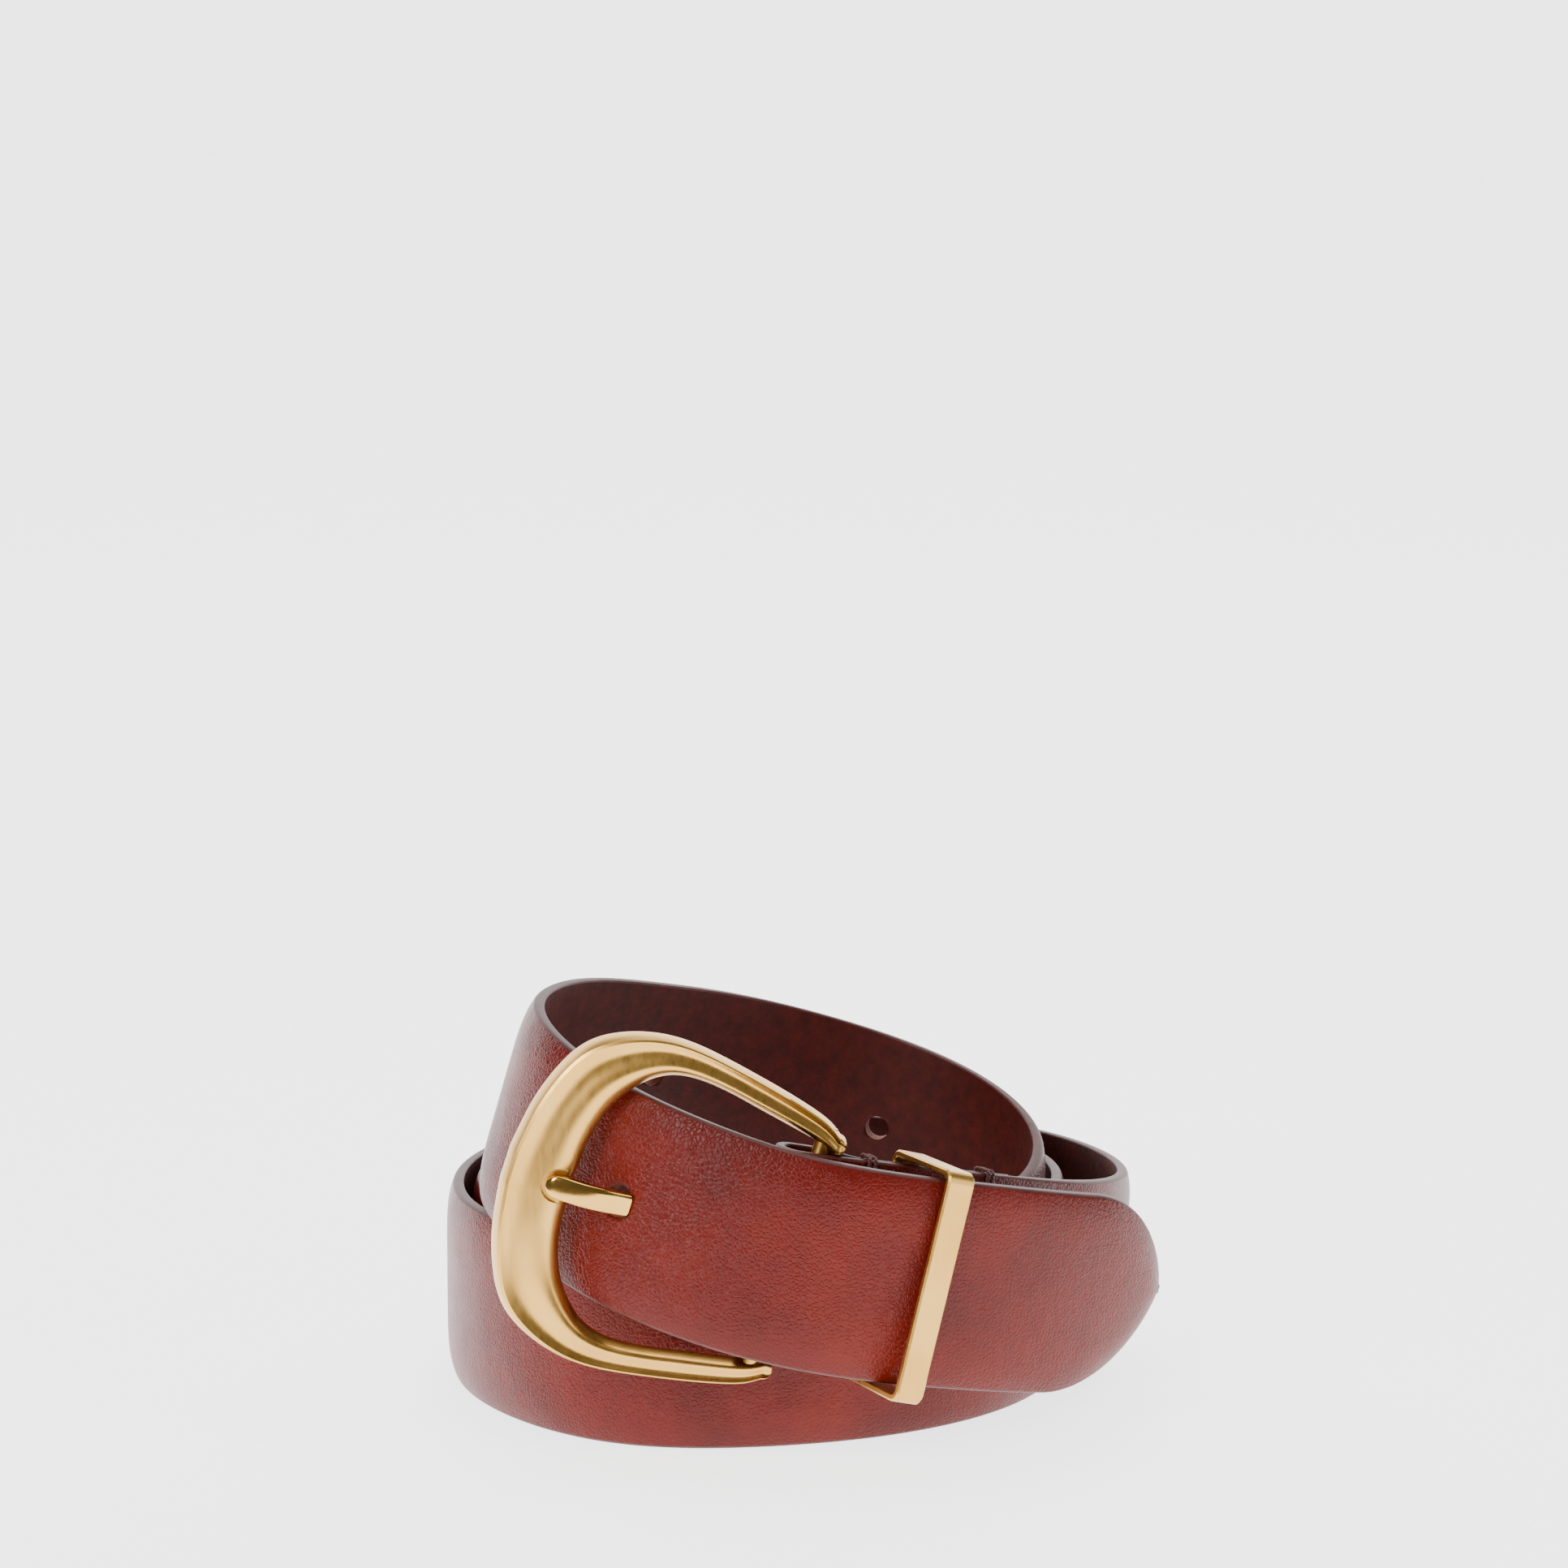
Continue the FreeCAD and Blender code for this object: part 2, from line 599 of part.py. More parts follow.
# ---------------------------------------------------------------- thread ties
def tie_loop(place, side):
    """One closed loop of thread: through both plies and round their edge."""
    top = EDGE + THREAD + 0.12
    low = 2.0 * LINING - size("ply_gap") - EDGE - THREAD - 0.15
    sign = 1.0 if side > 0 else -1.0
    beyond = sign * (0.5 + (THREAD + 0.1) / W)
    r = 0.6 / W * sign
    a = [place.at(side + r, top), place.at(beyond - r, top), place.at(beyond, top - 0.6), place.at(beyond, low + 0.6),
         place.at(beyond - r, low), place.at(side + r, low), place.at(side, low + 0.6), place.at(side, top - 0.6)]
    bend = 0.6 * (1.0 - math.sqrt(0.5))
    rb = bend / W * sign
    mids = [place.at(beyond - rb, top - bend), place.at(beyond - rb, low + bend),
            place.at(side + rb, low + bend), place.at(side + rb, top - bend)]
    edges = [Part.makeLine(a[0], a[1]), Part.Arc(a[1], mids[0], a[2]).toShape(), Part.makeLine(a[2], a[3]),
             Part.Arc(a[3], mids[1], a[4]).toShape(), Part.makeLine(a[4], a[5]),
             Part.Arc(a[5], mids[2], a[6]).toShape(), Part.makeLine(a[6], a[7]),
             Part.Arc(a[7], mids[3], a[0]).toShape()]
    path = Part.Wire(edges)
    ring = Part.Wire(Part.makeCircle(THREAD, a[0], a[1] - a[0]))
    loop = path.makePipeShell([ring], True, True)
    if loop.Volume < 0:
        loop.reverse()
    return loop


tie_shapes = {}
for name, places in tie_places.items():
    loops = [tie_loop(place, side) for place in places for side in tie_sides]
    tie_shapes[name] = Part.makeCompound(loops)

# ---------------------------------------------------------------- keeper
KEEPER_ANGLE = 1101.5
tip_place = section(KEEPER_ANGLE)


clear = size("keeper_clearance")
flap_off = 2.0 * LINING - size("ply_gap") - EDGE
KEEPER_PLAY = 1.5


def keeper_room():
    """What the keeper must clear while it slides: limits up and outwards in the tip strap's axes."""
    reach = 0.5 * size("keeper_width") + KEEPER_PLAY
    ups, outs = [], []
    for first, last, low in ((KEEPER_ANGLE - 12.0, KEEPER_ANGLE + 12.0, 0.0), (8.0, 40.0, flap_off)):
        a = first
        while a <= last:
            place = section(a)
            if abs((place.point - tip_place.point).dot(tip_place.along)) <= reach:
                for side in SIDES:
                    for off in (low, EDGE + rise(side, crown_share(a))):
                        d = place.at(side, off) - tip_place.point
                        ups.append(d.dot(tip_place.up))
                        outs.append(d.dot(tip_place.out))
            a += 0.5
    return min(ups) - clear, max(ups) + clear, min(outs) - 0.5 * clear, max(outs) + 0.5 * clear


up_low, up_high, out_low, out_high = keeper_room()
wall = size("keeper_wall")
sheet_row = len(SIZES) + 1
for alias, number, note in (("keeper_inner_height", up_high - up_low, "from the strap's place"),
                            ("keeper_inner_depth", out_high - out_low, "from the strap's place")):
    sheet.set("A%d" % sheet_row, alias)
    sheet.set("B%d" % sheet_row, "%.4f" % number)
    sheet.set("C%d" % sheet_row, note)
    sheet.setAlias("B%d" % sheet_row, alias)
    sheet_row += 1
doc.recompute()

keeper_turn = FreeCAD.Rotation(tip_place.along, tip_place.up, tip_place.out, "XYZ")
keeper_corner = (tip_place.point - tip_place.along * (0.5 * size("keeper_width"))
                 + tip_place.up * up_low + tip_place.out * out_low)
outer_box = doc.addObject("Part::Box", "KeeperOuter")
outer_box.setExpression("Length", "Sizes.keeper_width")
outer_box.setExpression("Width", "Sizes.keeper_inner_height + 2 * Sizes.keeper_wall")
outer_box.setExpression("Height", "Sizes.keeper_inner_depth + 2 * Sizes.keeper_wall")
outer_box.Placement.Base = Vec(0, 0, 0)
inner_box = doc.addObject("Part::Box", "KeeperInner")
inner_box.setExpression("Length", "Sizes.keeper_width + 4")
inner_box.setExpression("Width", "Sizes.keeper_inner_height")
inner_box.setExpression("Height", "Sizes.keeper_inner_depth")
inner_box.Placement.Base = Vec(-2.0, wall, wall)
doc.recompute()


def long_edges(obj):
    return [i for i, e in enumerate(obj.Shape.Edges, start=1)
            if abs(e.Vertexes[0].Point.x - e.Vertexes[1].Point.x) > 1.0]


outer_round = doc.addObject("Part::Fillet", "KeeperOuterRound")
outer_round.Base = outer_box
outer_round.Edges = [(i, 2.2, 2.2) for i in long_edges(outer_box)]
inner_round = doc.addObject("Part::Fillet", "KeeperInnerRound")
inner_round.Base = inner_box
inner_round.Edges = [(i, 1.2, 1.2) for i in long_edges(inner_box)]
keeper_obj = doc.addObject("Part::Cut", "keeper")
keeper_obj.Label = "keeper"
keeper_obj.Base = outer_round
keeper_obj.Tool = inner_round
keeper_obj.Placement = FreeCAD.Placement(keeper_corner - tip_place.up * wall - tip_place.out * wall, keeper_turn)

# ---------------------------------------------------------------- bar
bar_obj = doc.addObject("Part::Cylinder", "buckle_bar")
bar_obj.Label = "buckle_bar"
bar_obj.setExpression("Radius", "Sizes.bar_radius")
bar_obj.setExpression("Height", "2 * (0.83 * (0.5 * Sizes.strap_width + Sizes.frame_side_room) - 1.4"
                      " - Sizes.bar_clearance)")
bar_half = 0.83 * HALF - 1.4 - size("bar_clearance")
bar_obj.Placement = FreeCAD.Placement(on_buckle(0, -bar_half, 0), FreeCAD.Rotation(Vec(0, 0, 1), BY))
doc.recompute()

# ---------------------------------------------------------------- pieces
parts = [
    piece("strap_skin", skin_shape),
    piece("strap_lining", lining_shape),
    piece("strap_filler", core_shape),
    piece("buckle_frame", frame_shape),
    bar_obj,
    piece("prong", prong_shape),
    keeper_obj,
    piece("front_tie", tie_shapes["front_tie"]),
    piece("rear_tie", tie_shapes["rear_tie"]),
]

# The origin goes under the middle of the whole coil, on the floor.
whole = FreeCAD.BoundBox()
for obj in parts:
    whole.add(obj.Shape.optimalBoundingBox(False, False))
coil_shift = Vec(-0.5 * (whole.XMin + whole.XMax), -0.5 * (whole.YMin + whole.YMax), -foot_height)
for obj in parts:
    obj.Placement = FreeCAD.Placement(coil_shift, FreeCAD.Rotation()).multiply(obj.Placement)
doc.recompute()
print("coil moved by %.3f %.3f %.3f" % (coil_shift.x, coil_shift.y, coil_shift.z))

for obj in doc.Objects:
    if "Invalid" in obj.State or "Error" in obj.State:
        raise RuntimeError("%s did not build: %s" % (obj.Label, obj.State))
for obj in parts:
    if obj.Shape.isNull() or not obj.Shape.isValid():
        raise RuntimeError("%s has no valid shape" % obj.Label)
    obj.Shape.exportStep("parts/%s.step" % obj.Label)
    box = obj.Shape.BoundBox
    print("%-14s solids %d volume %.1f box %.1f %.1f %.1f to %.1f %.1f %.1f" % (
        obj.Label, len(obj.Shape.Solids), obj.Shape.Volume,
        box.XMin, box.YMin, box.ZMin, box.XMax, box.YMax, box.ZMax))
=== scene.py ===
"""Leather belt, fastened and rolled into a standing coil: the visible model.

Lengths in the sizes are millimetres, as a belt maker states them; meshes are in metres.
"""
import logging
import math
from dataclasses import dataclass
from enum import Enum

import bmesh
import bpy
import numpy as np
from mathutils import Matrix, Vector


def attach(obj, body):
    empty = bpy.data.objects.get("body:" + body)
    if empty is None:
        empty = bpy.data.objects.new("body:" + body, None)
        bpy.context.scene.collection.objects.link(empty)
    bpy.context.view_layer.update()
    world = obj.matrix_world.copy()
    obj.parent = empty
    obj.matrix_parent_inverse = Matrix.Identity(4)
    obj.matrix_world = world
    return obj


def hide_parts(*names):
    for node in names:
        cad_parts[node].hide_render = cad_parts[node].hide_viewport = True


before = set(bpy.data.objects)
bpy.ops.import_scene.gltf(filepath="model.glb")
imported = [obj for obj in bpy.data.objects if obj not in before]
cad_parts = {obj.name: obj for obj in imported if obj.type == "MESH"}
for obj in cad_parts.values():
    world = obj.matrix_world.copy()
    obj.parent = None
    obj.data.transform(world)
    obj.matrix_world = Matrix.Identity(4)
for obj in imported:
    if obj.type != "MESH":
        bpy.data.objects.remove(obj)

log = logging.getLogger("belt")
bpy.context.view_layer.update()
MM = 0.001


# ---------------------------------------------------------------- small geometry
def smooth_step(t: np.ndarray) -> np.ndarray:
    """Ease from 0 to 1.

    Args:
        t: Values, any range.

    Returns:
        Values from 0 to 1 with level ends.
    """
    t = np.clip(t, 0.0, 1.0)
    return t * t * (3.0 - 2.0 * t)


def unit(vectors: np.ndarray) -> np.ndarray:
    """Scale vectors to length one.

    Args:
        vectors: Array whose last axis is x, y, z.

    Returns:
        The same directions, length one.
    """
    return vectors / np.maximum(np.linalg.norm(vectors, axis=-1, keepdims=True), 1e-12)


class NaturalCurve:
    """Smooth curve through chosen points, straight beyond its ends."""

    def __init__(self, xs: list, ys: list) -> None:
        """Solve for the bends at the points.

        Args:
            xs: Rising places.
            ys: Values there.
        """
        self.xs = np.asarray(xs, float)
        self.ys = np.asarray(ys, float)
        n = len(self.xs)
        h = np.diff(self.xs)
        system = np.eye(n)
        right = np.zeros(n)
        for i in range(1, n - 1):
            system[i, i - 1:i + 2] = h[i - 1], 2.0 * (h[i - 1] + h[i]), h[i]
            right[i] = 6.0 * ((self.ys[i + 1] - self.ys[i]) / h[i] - (self.ys[i] - self.ys[i - 1]) / h[i - 1])
        self.bends = np.linalg.solve(system, right)

    def at(self, x: np.ndarray) -> np.ndarray:
        """Read the curve.

        Args:
            x: Places.

        Returns:
            Values there.
        """
        x = np.asarray(x, float)
        i = np.clip(np.searchsorted(self.xs, x, side="left") - 1, 0, len(self.xs) - 2)
        h = self.xs[i + 1] - self.xs[i]
        a = (self.xs[i + 1] - x) / h
        b = (x - self.xs[i]) / h
        bend = ((a ** 3 - a) * self.bends[i] + (b ** 3 - b) * self.bends[i + 1]) * h * h / 6.0
        return a * self.ys[i] + b * self.ys[i + 1] + bend


@dataclass
class Places:
    """A run of places across the strap, one row each."""

    point: np.ndarray
    along: np.ndarray
    up: np.ndarray
    out: np.ndarray

    def at(self, across: np.ndarray, off: np.ndarray) -> np.ndarray:
        """Points in millimetres.

        Args:
            across: Distance up the strap from its middle, per row or per row and column.
            off: Distance outwards from the inner face.

        Returns:
            Points.
        """
        if np.ndim(across) < 2:
            return self.point + self.up * np.reshape(across, (-1, 1)) + self.out * np.reshape(off, (-1, 1))
        return self.point[:, None] + self.up[:, None] * across[..., None] + self.out[:, None] * off[..., None]

    def joined(self, other: "Places") -> "Places":
        """This run followed by another."""
        return Places(*[np.concatenate(pair) for pair in zip(
            (self.point, self.along, self.up, self.out), (other.point, other.along, other.up, other.out))])


# ---------------------------------------------------------------- the coil's line
@dataclass
class CoilLine:
    """Where the strap runs: turning angle, net radius, lift of the lower edge, lean."""

    stations: tuple = (
        (0, 56.6, 22.0, 1.0), (45, 51.0, 11.0, 4.0), (90, 59.5, 2.0, 7.5), (135, 65.3, 0.0, 0.0),
        (180, 61.0, 0.0, 0.0), (225, 56.8, 0.0, 0.0), (270, 51.0, 0.0, 0.0), (310, 49.3, 0.1, 2.0),
        (335, 47.8, 0.1, -2.5), (360, 45.0, 0.1, 0.5), (405, 45.3, 0.0, 1.0), (450, 52.4, 0.0, 0.3),
        (495, 59.0, 0.0, 0.0), (540, 59.5, 0.0, 0.0), (585, 55.4, 0.0, 0.0), (630, 49.8, 0.0, 0.0),
        (675, 43.5, 0.0, 0.0), (720, 38.3, 0.1, 1.5), (765, 40.3, 1.0, 9.0), (810, 50.0, 6.0, 8.0),
        (855, 50.2, 17.5, 2.0), (900, 38.6, 29.5, -6.0), (945, 33.5, 37.8, -16.5), (975, 37.8, 41.3, -17.0),
        (1000, 45.1, 42.6, -16.3), (1020, 53.4, 41.6, -15.8), (1035, 58.9, 38.4, -13.3),
        (1050, 63.7, 33.7, -11.5),
        (1065, 68.5, 28.5, -9.3), (1080, 71.7, 22.9, -2.3), (1110, 76.6, 15.1, 6.3), (1140, 82.0, 7.8, 12.0),
        (1170, 92.0, 3.5, 6.0),
    )
    width: float = 40.0
    pitch: float = 3.9
    first_angle: float = 5.5
    shoulder_angle: float = 1128.0
    tip_length: float = 28.0
    shift: tuple = (-7.516, 0.898, -0.025)

    def __post_init__(self) -> None:
        """Make the curves and the table of lengths."""
        angles, radii, lifts, leans = (list(c) for c in zip(*self.stations))
        wound = [r + self.pitch * (3.0 - a / 360.0) for a, r in zip(angles, radii)]
        self.radius = NaturalCurve(angles, wound)
        self.lift = NaturalCurve(angles, lifts)
        self.lean = NaturalCurve(angles, leans)
        self.table_angle = np.arange(self.first_angle, 1170.01, 0.75)
        places = self.places(self.table_angle)
        middle = places.point + places.out
        steps = np.linalg.norm(np.diff(middle, axis=0), axis=1)
        self.table_run = np.concatenate([[0.0], np.cumsum(steps)])
        self.tip_end = float(self.angle_at(self.run_at(self.shoulder_angle) + self.tip_length))

    def centre(self, angles: np.ndarray) -> np.ndarray:
        """Middle of the strap's inner face at turning angles in degrees."""
        a = np.radians(angles)
        r = self.radius.at(angles)
        z = self.lift.at(angles) + 0.5 * self.width * np.cos(np.radians(self.lean.at(angles)))
        return np.stack([r * np.sin(a), -r * np.cos(a), z], -1)

    def places(self, angles: np.ndarray) -> Places:
        """Places across the strap.

        Args:
            angles: Turning angles in degrees.

        Returns:
            Their points and directions, in the row's frame.
        """
        angles = np.atleast_1d(np.asarray(angles, float))
        along = unit(self.centre(angles + 0.05) - self.centre(angles - 0.05))
        flat_out = unit(np.stack([along[:, 1], -along[:, 0], 0.0 * along[:, 0]], -1))
        flat_up = np.cross(flat_out, along)
        lean = np.radians(self.lean.at(angles))[:, None]
        up = flat_up * np.cos(lean) + flat_out * np.sin(lean)
        out = flat_out * np.cos(lean) - flat_up * np.sin(lean)
        return Places(self.centre(angles) + np.array(self.shift), along, up, out)

    def run_at(self, angles: np.ndarray) -> np.ndarray:
        """Length of strap from the bar to a turning angle."""
        return np.interp(angles, self.table_angle, self.table_run)

    def angle_at(self, runs: np.ndarray) -> np.ndarray:
        """Turning angle at a length of strap from the bar."""
        return np.interp(runs, self.table_run, self.table_angle)

    def half_width(self, runs: np.ndarray) -> np.ndarray:
        """Half the strap's width at lengths from the bar: narrower in the tip."""
        t = np.clip((runs - self.run_at(self.shoulder_angle)) / self.tip_length, 0.0, 1.0)
        return 0.5 * self.width * np.maximum(0.05, (1.0 - t ** 1.9) ** 0.72)


# ---------------------------------------------------------------- mesh making
class MeshMaker:
    """Turns rows of points into Blender objects."""

    @staticmethod
    def tube(name: str, rows: np.ndarray, zones: np.ndarray, closed: bool = False, shade: bool = True
             ) -> bpy.types.Object:
        """Closed skin through rings of equal length.

        Args:
            name: Object name.
            rows: Points in millimetres, ring by ring.
            zones: Material number of each column.
            closed: Whether the last ring joins the first.
            shade: Whether faces shade smooth.

        Returns:
            The object, linked to the scene.
        """
        n, k, _ = rows.shape
        index = np.arange(n * k).reshape(n, k)
        nxt = np.roll(index, -1, axis=1)
        if closed:
            a, b = index, np.roll(index, -1, axis=0)
            a2, b2 = nxt, np.roll(nxt, -1, axis=0)
        else:
            a, b, a2, b2 = index[:-1], index[1:], nxt[:-1], nxt[1:]
        quads = np.stack([a, b, b2, a2], -1).reshape(-1, 4)
        faces = quads.tolist()
        marks = np.tile(zones, len(a)).tolist()
        if not closed:
            faces += [index[0].tolist(), index[-1][::-1].tolist()]
            marks += [int(zones[0]), int(zones[0])]
        mesh = bpy.data.meshes.new(name)
        mesh.from_pydata((rows.reshape(-1, 3) * MM).tolist(), [], faces)
        mesh.polygons.foreach_set("material_index", marks)
        mesh.update()
        obj = bpy.data.objects.new(name, mesh)
        bpy.context.scene.collection.objects.link(obj)
        MeshMaker.outward(obj)
        if shade:
            mesh.shade_smooth()
        return obj

    @staticmethod
    def outward(obj: bpy.types.Object) -> None:
        """Point every face of a closed mesh outwards."""
        work = bmesh.new()
        work.from_mesh(obj.data)
        bmesh.ops.recalc_face_normals(work, faces=work.faces)
        if work.calc_volume(signed=True) < 0.0:
            bmesh.ops.reverse_faces(work, faces=work.faces)
        work.to_mesh(obj.data)
        work.free()

    @staticmethod
    def clothe(obj: bpy.types.Object, finish: bpy.types.Material) -> None:
        """Give every face of a piece one finish."""
        obj.data.materials.clear()
        obj.data.materials.append(finish)
        obj.data.polygons.foreach_set("material_index", [0] * len(obj.data.polygons))

    @staticmethod
    def crisp(obj: bpy.types.Object, degrees: float = 35.0) -> None:
        """Shade smooth, but keep edges sharper than an angle."""
        obj.data.shade_smooth()
        obj.data.set_sharp_from_angle(angle=math.radians(degrees))

    @staticmethod
    def pin(name: str, start: np.ndarray, axis: np.ndarray, radius: float, length: float, sides: int = 48
            ) -> bpy.types.Object:
        """Round cutter.

        Args:
            name: Object name.
            start: Centre of its first end, millimetres.
            axis: Direction.
            radius: Radius.
            length: Length.
            sides: Number of sides.

        Returns:
            The cutter.
        """
        axis = unit(np.asarray(axis, float))
        side = unit(np.cross(axis, [0.31, 0.87, 0.12]))
        other = np.cross(axis, side)
        t = np.linspace(0.0, 2.0 * math.pi, sides, endpoint=False)[:, None]
        ring = (np.cos(t) * side + np.sin(t) * other) * radius
        rows = np.stack([start + ring, start + axis * length + ring])
        return MeshMaker.tube(name, rows, np.zeros(sides, int), shade=False)

    @staticmethod
    def cut(obj: bpy.types.Object, cutters: list, operation: str = "DIFFERENCE") -> None:
        """Take cutters out of a closed mesh, or add them to it, and remove them.

        Args:
            obj: The mesh that stays.
            cutters: Closed meshes that carry the material of the walls they leave.
            operation: What the boolean does.
        """
        for cutter in cutters:
            change = obj.modifiers.new("cut", "BOOLEAN")
            change.operation = operation
            change.solver = "EXACT"
            change.material_mode = "TRANSFER"
            change.object = cutter
        graph = bpy.context.evaluated_depsgraph_get()
        mesh = bpy.data.meshes.new_from_object(obj.evaluated_get(graph), depsgraph=graph)
        old = obj.data
        obj.modifiers.clear()
        obj.data = mesh
        mesh.name = old.name + "_cut"
        bpy.data.meshes.remove(old)
        for cutter in cutters:
            data = cutter.data
            bpy.data.objects.remove(cutter)
            bpy.data.meshes.remove(data)


# ---------------------------------------------------------------- finishes
class Graph:
    """Short way to write a material's nodes."""

    def __init__(self, name: str) -> None:
        """Start a material with one shader.

        Args:
            name: Material name.
        """
        self.material = bpy.data.materials.new(name)
        self.material.use_nodes = True
        self.tree = self.material.node_tree
        self.tree.nodes.clear()
        self.output = self.tree.nodes.new("ShaderNodeOutputMaterial")
        self.shader = self.tree.nodes.new("ShaderNodeBsdfPrincipled")
        self.tree.links.new(self.shader.outputs[0], self.output.inputs[0])
        self.place = self.tree.nodes.new("ShaderNodeTexCoord").outputs["Object"]

    def link(self, source: object, node: bpy.types.Node, name: str) -> None:
        """Set an input to a socket's output or to a plain value."""
        if isinstance(source, bpy.types.NodeSocket):
            self.tree.links.new(source, node.inputs[name])
        else:
            node.inputs[name].default_value = source

    def noise(self, scale: float, detail: float = 3.0, rough: float = 0.5, place: object = None) -> object:
        """Cloudy pattern; scale is in repeats per metre."""
        node = self.tree.nodes.new("ShaderNodeTexNoise")
        self.link(place or self.place, node, "Vector")
        node.inputs["Scale"].default_value = scale
        node.inputs["Detail"].default_value = detail
        node.inputs["Roughness"].default_value = rough
        return node.outputs["Fac"]

    def cells(self, scale: float, feature: str = "DISTANCE_TO_EDGE", place: object = None) -> object:
        """Cell pattern, such as leather grain."""
        node = self.tree.nodes.new("ShaderNodeTexVoronoi")
        node.feature = feature
        self.link(place or self.place, node, "Vector")
        node.inputs["Scale"].default_value = scale
        return node.outputs["Distance"]

    def warp(self, amount: float, scale: float) -> object:
        """The object's coordinates, pushed about by noise."""
        node = self.tree.nodes.new("ShaderNodeTexNoise")
        self.link(self.place, node, "Vector")
        node.inputs["Scale"].default_value = scale
        scaled = self.tree.nodes.new("ShaderNodeVectorMath")
        scaled.operation = "SCALE"
        self.link(node.outputs["Color"], scaled, "Vector")
        scaled.inputs["Scale"].default_value = amount
        total = self.tree.nodes.new("ShaderNodeVectorMath")
        total.operation = "ADD"
        self.link(self.place, total, "Vector")
        self.tree.links.new(scaled.outputs[0], total.inputs[1])
        return total.outputs[0]

    def stretched(self, factors: tuple) -> object:
        """The object's coordinates, stretched along each axis."""
        node = self.tree.nodes.new("ShaderNodeMapping")
        self.link(self.place, node, "Vector")
        node.inputs["Scale"].default_value = factors
        return node.outputs[0]

    def ramp(self, source: object, stops: list) -> object:
        """Colours or greys along a value.

        Args:
            source: Value socket.
            stops: Pairs of place and colour or grey.

        Returns:
            Colour socket.
        """
        node = self.tree.nodes.new("ShaderNodeValToRGB")
        self.link(source, node, "Fac")
        ramp = node.color_ramp
        while len(ramp.elements) < len(stops):
            ramp.elements.new(0.5)
        for element, (place, colour) in zip(ramp.elements, stops):
            element.position = place
            grey = isinstance(colour, (int, float))
            element.color = (colour, colour, colour, 1.0) if grey else (*colour, 1.0)
        return node.outputs["Color"]

    def mix(self, factor: object, first: object, second: object, mode: str = "MIX") -> object:
        """Blend two colours."""
        node = self.tree.nodes.new("ShaderNodeMix")
        node.data_type = "RGBA"
        node.blend_type = mode
        for source, socket in ((factor, node.inputs[0]), (first, node.inputs[6]), (second, node.inputs[7])):
            if isinstance(source, bpy.types.NodeSocket):
                self.tree.links.new(source, socket)
            else:
                socket.default_value = source if isinstance(source, (int, float)) else (*source, 1.0)
        return node.outputs[2]

    def sum(self, first: object, second: object, kind: str = "ADD") -> object:
        """Arithmetic on two values."""
        node = self.tree.nodes.new("ShaderNodeMath")
        node.operation = kind
        for source, socket in ((first, node.inputs[0]), (second, node.inputs[1])):
            if isinstance(source, bpy.types.NodeSocket):
                self.tree.links.new(source, socket)
            else:
                socket.default_value = source
        return node.outputs[0]

    def attribute(self, name: str) -> object:
        """Number stored on the mesh."""
        node = self.tree.nodes.new("ShaderNodeAttribute")
        node.attribute_name = name
        return node.outputs["Fac"]

    def bump(self, height: object, distance: float, strength: float = 1.0, below: object = None) -> object:
        """Relief from a height; distance is in metres."""
        node = self.tree.nodes.new("ShaderNodeBump")
        node.inputs["Strength"].default_value = strength
        node.inputs["Distance"].default_value = distance
        self.link(height, node, "Height")
        if below is not None:
            self.link(below, node, "Normal")
        return node.outputs["Normal"]

    def set(self, **values: object) -> bpy.types.Material:
        """Set the shader's inputs by name, with underscores for spaces.

        Args:
            **values: Sockets or plain values.

        Returns:
            The material.
        """
        for key, value in values.items():
            self.link(value, self.shader, key.replace("_", " "))
        return self.material


Colour = tuple[float, float, float]


@dataclass(frozen=True)
class GlazedLeather:
    """Dyed, glazed calf with a fine pebbled grain, and painted shade along the strap's outline."""

    name: str = "leather_glazed"
    deep: Colour = (0.085, 0.0034, 0.0014)
    base: Colour = (0.125, 0.0056, 0.0019)
    warm: Colour = (0.165, 0.0086, 0.0024)
    grain: float = 1150.0

    def material(self) -> bpy.types.Material:
        """Make the finish."""
        g = Graph(self.name)
        cloud = g.noise(38.0, 4.0, 0.55)
        fine = g.noise(420.0, 4.0, 0.6)
        dye = g.ramp(cloud, [(0.3, self.deep), (0.52, self.base), (0.75, self.warm)])
        speck = g.ramp(fine, [(0.3, 0.88), (0.7, 1.0)])
        colour = g.mix(1.0, dye, speck, "MULTIPLY")
        # painted shade: the face darkens towards the strap's outline, standing in for shade on the crowned
        # shoulders
        rim_shade = g.attribute("rim_shade")
        colour = g.mix(g.sum(rim_shade, 0.55, "MULTIPLY"), colour, self.deep)
        pebble = g.cells(self.grain, place=g.warp(0.0016, 300.0))
        pebble = g.ramp(pebble, [(0.0, 0.0), (0.22, 1.0)])
        pores = g.noise(2600.0, 2.0, 0.5)
        folds = g.noise(150.0, 5.0, 0.62, place=g.stretched((1.0, 1.0, 0.3)))
        normal = g.bump(folds, 0.00034, 0.6)
        normal = g.bump(pebble, 0.00007, 0.8, normal)
        normal = g.bump(pores, 0.00003, 0.5, normal)
        gloss = g.ramp(g.noise(90.0, 3.0), [(0.3, 0.30), (0.7, 0.38)])
        return g.set(Base_Color=colour, Roughness=gloss, Normal=normal, Specular_IOR_Level=0.22)


